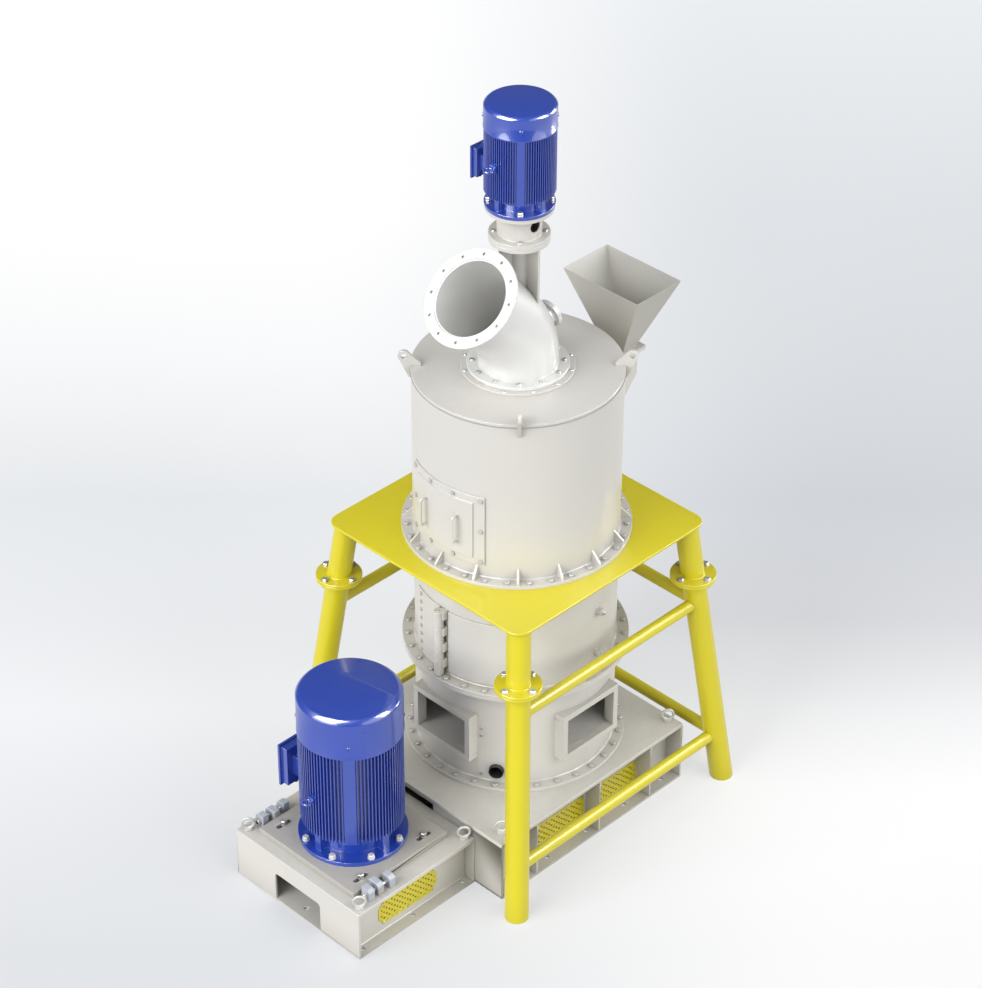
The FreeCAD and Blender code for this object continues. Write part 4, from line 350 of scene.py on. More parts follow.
BASE_WEB = 0.642
BASE_RIBS = (-0.585, -0.035, 0.425)
BASE_PLATE_TOP = 0.016
BASE_TOP_UNDERSIDE = 0.405
BASE_ENDS = (-0.885, 0.72)
MOTOR_BASE_WEB = 0.46
MOTOR_BASE_ENDS = (-1.84, -0.885)
MOTOR_BASE_UNDERSIDE = 0.33
BASE_SEAMS = (
    (BASE_WEB, BASE_ENDS, BASE_TOP_UNDERSIDE),
    (MOTOR_BASE_WEB, MOTOR_BASE_ENDS, MOTOR_BASE_UNDERSIDE),
)
WALL = 0.014
SEAM = 0.006
RIB_SEAM = 0.005
base_welds = bmesh.new()
for side in (-1, 1):
    outward = X_AXIS * side
    for web, ends, under in BASE_SEAMS:
        run = Y_AXIS * (ends[1] - ends[0] - 2 * WALL)
        for height, lean in ((BASE_PLATE_TOP, 1), (under, -1)):
            corner = Vector((side * web, ends[0] + WALL, height))
            bead(base_welds, corner, outward, Z_AXIS * lean, SEAM, travel=run)
    for rib in BASE_RIBS:
        rise = Z_AXIS * (BASE_TOP_UNDERSIDE - BASE_PLATE_TOP)
        for y, lean in ((rib, -1), (rib + WALL, 1)):
            corner = Vector((side * BASE_WEB, y, BASE_PLATE_TOP))
            bead(base_welds, corner, outward, Y_AXIS * lean, RIB_SEAM, travel=rise)
added(finished(base_welds, "base_weld_beads", off_white, WELD_SMOOTH), "mill")

# Belt guards
# Perforated sheet of 4 mm with staggered round holes, its corners cut off, screwed over the windows of
# the webs so that air reaches the belts. Gloss yellow enamel marks them as guards.

# Gloss yellow enamel: the safety colour, with a clear wet shine
yellow = enamel("gloss_yellow_enamel", "#E6D91E", "#DED01B", 0.34, 0.25, 0.2, 0.03, 0.3)
GUARD_PITCH_Y = 0.042
GUARD_PITCH_Z = 0.038
GUARD_HOLE = 0.0075
GUARD_MARGIN = 0.012
GUARD_HOLE_RIM = 0.001
MOTOR_GUARD_CUT = 0.05
MILL_GUARD_CUT = 0.012
GUARD_SCREW_INSET = 0.011
GUARD_SCREW_RADIUS = 0.0065
GUARD_SCREW_HEIGHT = 0.004


def guard_lines(low, high, pitch):
    """The grid lines across a panel: its two edges, and an odd number of cells between its margins."""
    inner = high - low - 2 * GUARD_MARGIN
    cells = max(1, round(inner / (pitch / 2)))
    cells -= 1 - cells % 2
    return [low, *(low + GUARD_MARGIN + inner * step / cells for step in range(cells + 1)), high]


def guard_sheet(low, high, cut):
    """One perforated panel, flat in X, with its four corners cut off."""
    shape = bmesh.new()
    rows_y = guard_lines(low.y, high.y, GUARD_PITCH_Y)
    rows_z = guard_lines(low.z, high.z, GUARD_PITCH_Z)
    grid = [[shape.verts.new((low.x, y, z)) for z in rows_z] for y in rows_y]
    for column in range(len(rows_y) - 1):
        for row in range(len(rows_z) - 1):
            near, far = grid[column:column + 2]
            face = shape.faces.new((near[row], far[row], far[row + 1], near[row + 1]))
            inside = 0 < column < len(rows_y) - 2 and 0 < row < len(rows_z) - 2
            centre = face.calc_center_median()
            reach_y = min(centre.y - low.y, high.y - centre.y)
            reach_z = min(centre.z - low.z, high.z - centre.z)
            if inside and (column + row) % 2 == 0 and reach_y + reach_z > cut + 2 * GUARD_HOLE:
                face.tag = True
    holed = [face for face in shape.faces if face.tag]
    bmesh.ops.inset_individual(shape, faces=holed, thickness=GUARD_HOLE_RIM)
    rims = list(dict.fromkeys(edge for face in holed for edge in face.edges))
    bmesh.ops.subdivide_edges(shape, edges=rims, cuts=1)
    for face in holed:
        centre = face.calc_center_median()
        for vert in face.verts:
            vert.co = centre + (vert.co - centre).normalized() * GUARD_HOLE
    bmesh.ops.delete(shape, geom=holed, context="FACES")
    for y, z, lean_y, lean_z in (
        (low.y, low.z, -1, -1),
        (high.y, low.z, 1, -1),
        (low.y, high.z, -1, 1),
        (high.y, high.z, 1, 1),
    ):
        bmesh.ops.bisect_plane(
            shape,
            geom=shape.verts[:] + shape.edges[:] + shape.faces[:],
            plane_co=Vector((low.x, y - lean_y * cut / 2, z - lean_z * cut / 2)),
            plane_no=Vector((0, lean_y, lean_z)),
            clear_outer=True,
        )
    thick = high.x - low.x
    bmesh.ops.solidify(shape, geom=shape.faces[:], thickness=-thick)
    start = min(vert.co.x for vert in shape.verts)
    bmesh.ops.translate(shape, vec=Vector((low.x - start, 0, 0)), verts=shape.verts)
    return shape


# Plated and machined metal: a grain of about 17 mm, drawn coarser than a real one so that it shows
PLATE_GRAIN_SCALE = 60
PLATE_GRAIN_SPREAD = 0.1


def plated(name, light, dark, roughness, metal=0.9):
    """Metal with a plated, cast or machined skin, mottled between two tones."""
    made, tree, place = blank_material(name)
    grain = add(
        tree,
        "ShaderNodeTexNoise",
        inputs={"Vector": place, "Scale": PLATE_GRAIN_SCALE, "Detail": 6},
    )
    skin = add(
        tree,
        "ShaderNodeMix",
        {"data_type": "RGBA"},
        {0: grain.outputs["Fac"], 6: linear(light), 7: linear(dark)},
    )
    gloss = add(
        tree,
        "ShaderNodeMapRange",
        inputs={
            "Value": grain.outputs["Fac"],
            "To Min": roughness - PLATE_GRAIN_SPREAD,
            "To Max": roughness + PLATE_GRAIN_SPREAD,
        },
    )
    shader = add(
        tree,
        "ShaderNodeBsdfPrincipled",
        inputs={
            "Base Color": skin.outputs[2],
            "Roughness": gloss.outputs["Result"],
            "Metallic": metal,
        },
    )
    add(tree, "ShaderNodeOutputMaterial", inputs={"Surface": shader.outputs["BSDF"]})
    return made


# Zinc plate of the screws and bolts: a soft grey shine
zinc = plated("bright_zinc_plate", "#BEBEBA", "#A4A5A5", 0.44)
# A button head with a socket, as shares of its radius and height
SCREW_SOCKET_FLOOR = 0.4
SCREW_PROFILE = (
    (1, 0), (1, 0.3), (0.78, 0.85), (0.45, 1), (0.4, SCREW_SOCKET_FLOOR), (0, SCREW_SOCKET_FLOOR),
)
SCREW_TURN_STEPS = 14
# A turned piece's corners at its axis become one within its radius divided by this
TIP_DIVISOR = 9


def screw(shape, foot, direction, radius, height):
    """A button-head screw with a socket, standing on a point."""
    across = direction.orthogonal().normalized()
    verts = [
        shape.verts.new(foot + across * radius * reach + direction * height * level)
        for reach, level in SCREW_PROFILE
    ]
    edges = [shape.edges.new(pair) for pair in zip(verts, verts[1:])]
    bmesh.ops.spin(
        shape,
        geom=verts + edges,
        cent=foot,
        axis=direction,
        angle=math.tau,
        steps=SCREW_TURN_STEPS,
        use_merge=True,
    )
    floor_centre = foot + direction * height * SCREW_SOCKET_FLOOR
    near = radius / TIP_DIVISOR
    tips = [vert for vert in shape.verts if (vert.co - floor_centre).length < near]
    bmesh.ops.remove_doubles(shape, verts=tips, dist=near)


guards = bmesh.new()
guard_screws = bmesh.new()
for corners in islands("belt_guards"):
    low, high = extent(corners)
    cut = MOTOR_GUARD_CUT if high.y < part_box("motor_base")[1].y else MILL_GUARD_CUT
    panel = bpy.data.meshes.new("guard_panel")
    sheet = guard_sheet(low, high, cut)
    sheet.to_mesh(panel)
    sheet.free()
    guards.from_mesh(panel)
    bpy.data.meshes.remove(panel)
    outward = X_AXIS * math.copysign(1, low.x)
    face = high.x if low.x > 0 else low.x
    inset = cut / 2 + GUARD_SCREW_INSET
    for y in (low.y + inset, (low.y + high.y) / 2, high.y - inset):
        for z in (low.z + GUARD_SCREW_INSET, high.z - GUARD_SCREW_INSET):
            screw(guard_screws, Vector((face, y, z)), outward, GUARD_SCREW_RADIUS, GUARD_SCREW_HEIGHT)
placed(finished(guards, "perforated_guards", yellow), "belt_guards")
added(finished(guard_screws, "guard_screws", zinc), "mill")

# Lifting eyes
# Forged collar eyes screwed into the corners of both bases, with a round ring for a hook. They were
# dipped in zinc.

# Hot-dip zinc: a dull light grey, spangled, that hides most of the metal's shine
galvanised = plated("hot_dip_zinc", "#D2D1CC", "#C0C0BD", 0.58, 0.25)
dressed("eye_bolts", galvanised, 0.001)

# Slide plate of the motor with its jack screws
# A flame-cut plate, machined flat, that slides on the base to tighten the belts. A threaded rod on
# each side holds its ear between two fixed lugs, and bolts in slots clamp it down.

# Blue-grey primer on the lugs and ears: matt, with no top coat
primer = enamel("blue_grey_primer", "#C6CCD6", "#B9BFCB", 0.5, 0, 0.4)
# Grey enamel on the plate: a shade darker than the base under it
plate_paint = enamel("grey_base_enamel", "#C4C1BA", "#B9B6AF", 0.46, 0.05, 0.3)
# The plate's faces further out and higher than this are those of its ears
PLATE_REACH = 0.42
PLATE_FACE = 0.392
slide_plate = dressed("motor_slide_plate", plate_paint, 0.003)
slide_plate.data.materials.append(primer)
for face in slide_plate.data.polygons:
    if abs(face.center.x) > PLATE_REACH and face.center.z > PLATE_FACE:
        face.material_index = 1
THREAD_PITCH = 0.003
THREAD_DEPTH = 0.0015
THREAD_TURN_STEPS = 20


def threaded(shape, start, direction, radius, length):
    """A threaded rod as a row of ridges round its axis."""
    across = direction.orthogonal().normalized()
    count = round(length / THREAD_PITCH)
    verts = []
    for number in range(2 * count + 1):
        reach = radius - THREAD_DEPTH * (number % 2 == 0)
        along = length * number / (2 * count)
        verts.append(shape.verts.new(start + across * reach + direction * along))
    verts.insert(0, shape.verts.new(start))
    verts.append(shape.verts.new(start + direction * length))
    edges = [shape.edges.new(pair) for pair in zip(verts, verts[1:])]
    bmesh.ops.spin(
        shape,
        geom=verts + edges,
        cent=start,
        axis=direction,
        angle=math.tau,
        steps=THREAD_TURN_STEPS,
        use_merge=True,
    )
    near = radius / TIP_DIVISOR
    ends = [
        vert for vert in shape.verts
        if min((vert.co - start).length, (vert.co - start - direction * length).length) < near
    ]
    bmesh.ops.remove_doubles(shape, verts=ends, dist=near)


# A hexagon head: the share of its height under the chamfer, the chamfer's reach, and the washer
HEAD_SHOULDER = 0.86
HEAD_CHAMFER = 0.16
BOLT_BRIM = 1.1
BOLT_WASHER = 0.003
WASHER_STEPS = 28


def head(shape, centre, spoke, direction, height, washer=True):
    """A chamfered hexagon head on a washer, whose spoke reaches from its centre to a corner."""
    forward = spoke.normalized()
    turned_to = Matrix((forward, direction.cross(forward), direction)).transposed().to_4x4()
    turned_to.translation = centre
    radius = spoke.length
    hexagon = bmesh.ops.create_circle(shape, cap_ends=True, segments=6, radius=radius, matrix=turned_to)
    foot = hexagon["verts"][0].link_faces[0]
    grown = bmesh.ops.extrude_face_region(shape, geom=[foot])["geom"]
    corners = [item for item in grown if isinstance(item, bmesh.types.BMVert)]
    lid = next(item for item in grown if isinstance(item, bmesh.types.BMFace))
    bmesh.ops.translate(shape, vec=direction * height * HEAD_SHOULDER, verts=corners)
    bmesh.ops.inset_region(shape, faces=[lid], thickness=radius * HEAD_CHAMFER, use_even_offset=True)
    bmesh.ops.translate(shape, vec=direction * height * (1 - HEAD_SHOULDER), verts=lid.verts)
    if washer:
        disc = turned_to @ Matrix.Translation((0, 0, BOLT_WASHER / 2))
        bmesh.ops.create_cone(
            shape,
            cap_ends=True,
            segments=WASHER_STEPS,
            radius1=radius * BOLT_BRIM,
            radius2=radius * BOLT_BRIM,
            depth=BOLT_WASHER,
            matrix=disc,
        )


def bolt_heads(name, node, material, hangs_under=0.0):
    """New heads in the places of a CAD node's heads; those under a height hang from their flange."""
    shape = bmesh.new()
    for corners in islands(node):
        middle = sum(corners, Vector()) / len(corners)
        levels = {round(corner.z, 5) for corner in corners}
        if len(levels) == 2:
            direction = Z_AXIS * (-1 if middle.z < hangs_under else 1)
        else:
            direction = Vector((middle.x, middle.y, 0)).normalized()
        reach = [(corner - middle).dot(direction) for corner in corners]
        half = max(reach)
        centre = middle - direction * half
        corner = next(corner for corner, depth in zip(corners, reach) if depth < 0)
        head(shape, centre, corner - centre, direction, 2 * half)
    placed(finished(shape, name, material), node)


# The axis of a jack screw, how far its nuts reach from it, and the radius of its thread
JACK_X = 0.462
JACK_LEVEL = 0.384
JACK_NUT = 0.0215
JACK_ROD = 0.0122
lugs = copied("jack_screws")
screws = []
for face in lugs.faces:
    corners = [Vector((abs(vert.co.x) - JACK_X, 0, vert.co.z - JACK_LEVEL)) for vert in face.verts]
    if all(corner.length < JACK_NUT for corner in corners):
        screws.append(face.index)
jack = finished(lugs, "jack_screws_finished", primer)
jack.data.materials.append(zinc)
for number in screws:
    jack.data.polygons[number].material_index = 1
placed(soften(jack, 0.0015), "jack_screws")
rods = bmesh.new()
low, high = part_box("jack_screws")
for side in (-1, 1):
    threaded(rods, Vector((side * JACK_X, low.y, JACK_LEVEL)), Y_AXIS, JACK_ROD, high.y - low.y)
added(finished(rods, "jack_threads", zinc), "mill")

SLIDE_HEAD = 0.026
SLIDE_WASHER = 0.004
SLIDE_WASHER_FOOT = 0.0205
SLIDE_WASHER_TOP = 0.0195
SLIDE_WASHER_STEPS = 32
SLIDE_SHANK = 0.012
SLIDE_SHANK_STEPS = 24
SAME_LEVEL = 0.0005
slide_heads = bmesh.new()
for corners in islands("slide_bolts"):
    low, high = extent(corners)
    top = [corner for corner in corners if corner.z > high.z - SAME_LEVEL]
    middle = sum(top, Vector()) / len(top)
    head(slide_heads, middle - Z_AXIS * SLIDE_HEAD, top[0] - middle, Z_AXIS, SLIDE_HEAD, washer=False)
    seat = high.z - SLIDE_HEAD
    bmesh.ops.create_cone(
        slide_heads,
        cap_ends=True,
        segments=SLIDE_WASHER_STEPS,
        radius1=SLIDE_WASHER_FOOT,
        radius2=SLIDE_WASHER_TOP,
        depth=SLIDE_WASHER,
        matrix=Matrix.Translation((middle.x, middle.y, seat - SLIDE_WASHER / 2)),
    )
    bmesh.ops.create_cone(
        slide_heads,
        cap_ends=True,
        segments=SLIDE_SHANK_STEPS,
        radius1=SLIDE_SHANK,
        radius2=SLIDE_SHANK,
        depth=seat - low.z,
        matrix=Matrix.Translation((middle.x, middle.y, (seat + low.z) / 2)),
    )
placed(finished(slide_heads, "slide_bolt_heads", zinc), "slide_bolts")

# Flange motors
# Two squirrel-cage motors standing on their flanges: the large one drives the belts, the small one the
# classifier. Each has a cast, finned housing on a ribbed end shield, a pressed fan cowl, a terminal box
# and a lifting eye, all sprayed in one gloss blue.

# Gloss blue enamel: deep and wet, so that the studio lights stand in it as white patches
blue = enamel("gloss_blue_enamel", "#1F45B2", "#1D41AB", 0.3, 1.0, 0.1, 0.02, 0.1)
# Red enamel of the coupling, which shows through the lantern's window
red = enamel("red_enamel", "#DE2A1E", "#D0251A", 0.35, 0.3, 0.2, 0, 0)
# Black nitrile of the cable glands: dull and soft
black = enamel("black_nitrile", "#202022", "#19191B", 0.6, 0, 0.6)
# New zinc under clear varnish on the motor's bolts: nearly white
bright = enamel("varnished_zinc", "#E9E9E6", "#DCDCDA", 0.3, 0.6, 0.1, 0)
# The lip stands out by half of this. Its height and the end of its slope are multiples of it
COWL_LIP = 0.004
COWL_LIP_HEIGHT = 2
COWL_LIP_END = 2.6
COWL_WALL = 0.004
# How far down the edge starts inside, as a multiple of the edge outside
COWL_INNER_EDGE = 1.6
COWL_SMOOTH = 40
COWL_ROUND_STEPS = 12
# The drawn edge is nearly a slant with soft ends: 1 would make it round and 2 a plain chamfer
COWL_SLANT = 1.5
COWL_SPREAD = 1.15
COWL_TURN_STEPS = 96
COWL_SCREW_RADIUS = 0.012
COWL_SCREW_HEIGHT = 0.006
COWL_SCREW_SINK = 0.0005


def cowl(name, node, edge, screw_rise):
    """A deep-drawn fan cowl with a rolled lower lip, a round top edge and four screws near its foot."""
    low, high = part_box(node)
    centre = (low + high) / 2
    radius = (high.x - low.x) / 2
    side = radius - COWL_LIP / 2
    outline = [
        (radius - COWL_WALL, low.z),
        (radius, low.z),
        (radius, low.z + COWL_LIP_HEIGHT * COWL_LIP),
        (side, low.z + COWL_LIP_END * COWL_LIP),
        (side, high.z - edge),
    ]
    across = COWL_SPREAD * edge
    bend = side - across
    for step in range(1, COWL_ROUND_STEPS + 1):
        angle = math.radians(90 * step / COWL_ROUND_STEPS)
        reach = bend + across * math.cos(angle) ** COWL_SLANT
        outline.append((reach, high.z - edge + edge * math.sin(angle) ** COWL_SLANT))
    under = high.z - edge / 2
    inner = (radius - COWL_WALL, high.z - COWL_INNER_EDGE * edge)
    outline += [(0, high.z), (0, under), (bend, under), inner]
    shape = bmesh.new()
    verts = [shape.verts.new((centre.x + reach, centre.y, level)) for reach, level in outline]
    loop = [shape.edges.new(pair) for pair in zip(verts, verts[1:] + verts[:1])]
    bmesh.ops.spin(
        shape,
        geom=verts + loop,
        cent=(centre.x, centre.y, 0),
        axis=Z_AXIS,
        angle=math.tau,
        steps=COWL_TURN_STEPS,
        use_merge=True,
    )
    bmesh.ops.remove_doubles(shape, verts=shape.verts, dist=MERGED_WITHIN)
    for turn in (45, 135, 225, 315):
        outward = Vector((math.cos(math.radians(turn)), math.sin(math.radians(turn)), 0))
        foot = Vector((centre.x, centre.y, low.z + screw_rise)) + outward * (side - COWL_SCREW_SINK)
        screw(shape, foot, outward, COWL_SCREW_RADIUS, COWL_SCREW_HEIGHT)
    placed(finished(shape, name, blue, COWL_SMOOTH), node)


LID_INSET = 0.014
LID_SINK = 0.002
LID_SCREW_RADIUS = 0.0065
GLAND_SINK = 0.016
# Glands as shares of the box's depth, and their nuts and caps as shares of a gland
GLAND_PLACE = 0.27
GLAND_SIZE = 0.13
GLAND_NUT_HEIGHT = 0.7
GLAND_CAP_SIZE = 0.85
GLAND_CAP_HEIGHT = 0.5


def terminal_extras(name, node, body):
    """Six screws on the lid of a terminal box, and two cable glands under its body."""
    low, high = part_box(node)
    screws = bmesh.new()
    for y in (low.y + LID_INSET, high.y - LID_INSET):
        for z in (low.z + LID_INSET, (low.z + high.z) / 2, high.z - LID_INSET):
            screw(screws, Vector((low.x + LID_SINK, y, z)), -X_AXIS, LID_SCREW_RADIUS, LID_SINK)
    added(finished(screws, name + "_lid_screws", zinc), body)
    glands = bmesh.new()
    deep = high.x - low.x
    spread = (high.y - low.y) / 5
    for y in ((low.y + high.y) / 2 - spread, (low.y + high.y) / 2 + spread):
        foot = Vector((low.x + deep * GLAND_PLACE, y, low.z + GLAND_SINK))
        size = deep * GLAND_SIZE
        head(glands, foot, X_AXIS * size, -Z_AXIS, size * GLAND_NUT_HEIGHT, washer=False)
        cap = foot - Z_AXIS * size * GLAND_NUT_HEIGHT
        spoke = Y_AXIS * size * GLAND_CAP_SIZE
        head(glands, cap, spoke, -Z_AXIS, size * GLAND_CAP_HEIGHT, washer=False)
    added(finished(glands, name + "_cable_glands", black), body)


cowl("main_fan_cowl", "main_motor_cowl", edge=0.027, screw_rise=0.085)
cowl("top_fan_cowl", "top_motor_cowl", edge=0.018, screw_rise=0.062)
for node in ("main_motor_frame", "main_terminal_box", "top_motor_frame", "top_terminal_box"):
    dressed(node, blue, 0.0015)
terminal_extras("main", "main_terminal_box", "motor_slide")
terminal_extras("top", "top_terminal_box", "mill")
bolt_heads("main_motor_bolt_heads", "main_motor_bolts", bright)
dressed("drive_coupling", red, 0.002)

# Support frame
# A square platform plate of 16 mm on four raking pipe legs, each in two lengths with a bolted flange
# joint, and six pipe braces. Gloss yellow enamel over all of it, zinc-plated bolts in the joints.

LEG_JOINT_LEVEL = 1.565
for node in ("platform_plate", "leg_stubs", "lower_legs", "leg_braces"):
    dressed(node, yellow, 0.003)
bolt_heads("leg_joint_heads", "leg_joint_bolts", zinc, LEG_JOINT_LEVEL)

# Belt drive, shaft, rollers and rings
# Cast iron pulleys and grinding parts, turned steel shafts, and moulded rubber vee belts. Most of it is
# hidden and shows only through the windows and inlets.

# Turned steel: bright with a fine grain
steel = plated("turned_steel", "#C4C4C2", "#A9AAAA", 0.3)
# Cast iron: dark, dull and coarse
iron = plated("wear_cast_iron", "#7A7875", "#5D5B59", 0.5)
# Moulded rubber: nearly black and dull
rubber = enamel("moulded_rubber", "#1B1B1B", "#141414", 0.75, 0, 0.8)
INNER = {
    steel: ("main_shaft", "roller_cage", "shaft_bearings", "main_motor_rotor", "top_motor_rotor",
            "classifier_shaft", "classifier_wheel"),
    iron: ("grinding_rings", "mill_pulley", "motor_pulley",
           *(f"roller_{layer}{letter}" for layer in (1, 2, 3) for letter in "abc")),
    rubber: ("v_belts",),
    off_white: ("bearing_housing", "air_duct"),
}
for material, nodes in INNER.items():
    for node in nodes:
        part = frame["nodes"][node]
        part.data.materials.clear()
        part.data.materials.append(material)

# Casings of the mill
# Rolled and welded steel shells with turned flanges, stacked and bolted. The lower one takes in the
# air, the middle one holds the grinding rings behind a hinged door, the upper one the classifier.

# Off-white enamel of the casings: a little smoother than that of the bases
casing_paint = enamel("satin_casing_enamel", "#E1DED8", "#D8D6D1", 0.38, 0.15, 0.3, 0.1)
for node in (
    "lower_casing",
    "middle_casing",
    "hinge_leaf",
    "middle_door",
    "upper_casing",
    "access_cover",
    "top_cover",
    "lifting_lugs",
    "classifier_stand",
    "motor_lantern",
    "feed_chute",
):
    dressed(node, casing_paint, 0.0015)
dressed("hinge_pin", zinc, 0.001)

CASING_OUTER = 0.612
UPPER_OUTER = 0.616
# Each seam's radius and height, and whether its weld lies above or below the flange
CASING_SEAMS = (
    (CASING_OUTER, 0.452, 1),
    (CASING_OUTER, 1.132, -1),
    (CASING_OUTER, 1.172, 1),
    (CASING_OUTER, 1.929, -1),
    (UPPER_OUTER, 1.987, 1),
    (UPPER_OUTER, 3.046, -1),
)
casing_welds = bmesh.new()
for radius, level, side in CASING_SEAMS:
    ring_bead(casing_welds, radius, level, SEAM, side)
casing_beads = finished(casing_welds, "casing_weld_beads", casing_paint, WELD_SMOOTH)
added(casing_beads, "mill")

# Three small screws beside the front inlet, and those of the ring on the cover
INLET_SCREW_TURN = math.radians(-65)
INLET_SCREW_LEVELS = (0.846, 0.791, 0.493)
INLET_SCREW_RADIUS = 0.011
INLET_SCREW_HEIGHT = 0.008
RING_SCREWS = 12
RING_SCREW_CIRCLE = 0.315
RING_SCREW_RADIUS = 0.01
RING_SCREW_HEIGHT = 0.006
RING_TOP = 3.08
small_screws = bmesh.new()
outward = Vector((math.cos(INLET_SCREW_TURN), math.sin(INLET_SCREW_TURN), 0))
for level in INLET_SCREW_LEVELS:
    place = outward * CASING_OUTER + Z_AXIS * level
    screw(small_screws, place, outward, INLET_SCREW_RADIUS, INLET_SCREW_HEIGHT)
for number in range(RING_SCREWS):
    turn = math.radians(360 * (number + 0.5) / RING_SCREWS - 45)
    place = Vector((math.cos(turn), math.sin(turn), 0)) * RING_SCREW_CIRCLE + Z_AXIS * RING_TOP
    screw(small_screws, place, Z_AXIS, RING_SCREW_RADIUS, RING_SCREW_HEIGHT)
added(finished(small_screws, "small_screws", zinc), "mill")

# Two screwed plugs in the bosses of the middle casing, for a lance or a gauge
PLUG_TURN = math.radians(6.5)
PLUG_END = 0.64
PLUG_LEVELS = (1.278, 1.586)
PLUG_STEPS = ((0.0185, 0.014), (0.011, 0.012))
plugs = bmesh.new()
outward = Vector((math.cos(PLUG_TURN), math.sin(PLUG_TURN), 0))
for level in PLUG_LEVELS:
    foot = outward * PLUG_END + Z_AXIS * level
    for size, height in PLUG_STEPS:
        head(plugs, foot, Z_AXIS * size, outward, height, washer=False)
        foot += outward * height
added(finished(plugs, "casing_plugs", zinc), "mill")

# A black lining in the round side hole: painted shade of the hole's dark inside
SLEEVE_TURN = math.radians(-56)
SLEEVE_LEVEL = 0.539
SLEEVE_BORE = 0.045
SLEEVE_END = 0.645
SHADE_LINER_LENGTH = 0.1
SHADE_LINER_SINK = 0.006
SHADE_LINER_WALL = 0.004
SHADE_LINER_TURN_STEPS = 40
sleeve_way = Vector((math.cos(SLEEVE_TURN), math.sin(SLEEVE_TURN), 0))
sleeve_side = Vector((-sleeve_way.y, sleeve_way.x, 0))
mouth = sleeve_way * SLEEVE_END + Z_AXIS * SLEEVE_LEVEL
shade_liner = bmesh.new()
outline = [
    shade_liner.verts.new(mouth + sleeve_side * reach - sleeve_way * depth)
    for reach, depth in (
        (SLEEVE_BORE, SHADE_LINER_LENGTH),
        (SLEEVE_BORE, SHADE_LINER_SINK),
        (SLEEVE_BORE - SHADE_LINER_WALL, SHADE_LINER_SINK),
        (SLEEVE_BORE - SHADE_LINER_WALL, SHADE_LINER_LENGTH),
    )
]
bmesh.ops.spin(
    shade_liner,
    geom=outline + [shade_liner.edges.new(pair) for pair in zip(outline, outline[1:] + outline[:1])],
    cent=mouth,
    axis=sleeve_way,
    angle=math.tau,
    steps=SHADE_LINER_TURN_STEPS,
    use_merge=True,
)
# Its black stands in for the shade inside the hole
added(finished(shade_liner, "sleeve_shade_liner", black), "mill")

# Flange bolts
# Hexagon bolts with a washer under each head. Those that hold the casings together were sprayed over
# with them. Those of the door and the bend are undone for cleaning and show their zinc.

# A thin coat of the casing's enamel over zinc: a shade greyer than the sheet round it
painted_steel = enamel("sprayed_bolt_steel", "#CFCDC8", "#BCBAB5", 0.42, 0.1, 0.5, 0)

bolt_heads("casing_bolt_heads", "casing_bolts", painted_steel)
bolt_heads("bend_bolt_heads", "head_bolts", zinc)
bolt_heads("door_bolt_heads", "door_bolts", zinc)

# Outlet bend
# A smooth bend of pressed steel with a turned flange at each end and a blanked branch on its heel. It
# is bolted to the raised ring of the top cover.

# Gloss white enamel: whiter and wetter than the casing's
white = enamel("gloss_white_enamel", "#F0F0EE", "#EAEAE8", 0.3, 0.4, 0.2, 0.1)
dressed("outlet_elbow", white, 0.002)
dressed("heel_cover", white, 0.0015)

# Feed hopper
# Sheet of 4 mm, folded and welded into an open pyramid, on a flange over the chute. It was left in its
# primer.

# Grey primer: matt, with no top coat
grey = enamel("grey_primer", "#CBC9C3", "#BFBDB6", 0.5, 0, 0.4, 0.1, 0.3)
dressed("hopper", grey, 0.001)

# Floor
# A seamless pale studio floor whose glow, a painted light, fades from white on the left to a cool grey
# on the right. The camera sees its glow with the shadows on it, and the machine gets plain light from
# it. In mirror images it glows white, also a painted light.

FLOOR_HALF = 300
FLOOR_LIT = "#AFAFAF"
FLOOR_PALE = "#989898"
# How strongly the floor glows white in mirror images: painted light in the reflections
FLOOR_MIRRORED = 0.6
FADE_LEFT = -1.6
FADE_RIGHT = 2.2
AZIMUTH = math.radians(44.5837)
# The floor's tones of glow, a painted light, by the distance behind the mill, as the camera sees it, in
# metres
LEFT_TONES = (
    (-1.6, "#9DA1A6"), (-0.1, "#B3B6BB"), (0.6, "#BEC0C4"), (1.6, "#B2B5B9"),
    (3.0, "#A8ACB0"), (4.8, "#BEBFC1"), (7.0, "#C9C9C9"), (11.0, "#CACACA"),
)
RIGHT_TONES = (
    (-1.6, "#C2C2C4"), (-0.1, "#C8C8CA"), (0.6, "#BEBFC1"), (1.6, "#A0A2A7"),
    (3.0, "#8D939B"), (4.8, "#93999F"), (7.0, "#989DA3"), (11.0, "#A9AEB3"),
)
floor_shape = bmesh.new()
bmesh.ops.create_grid(floor_shape, x_segments=1, y_segments=1, size=FLOOR_HALF)


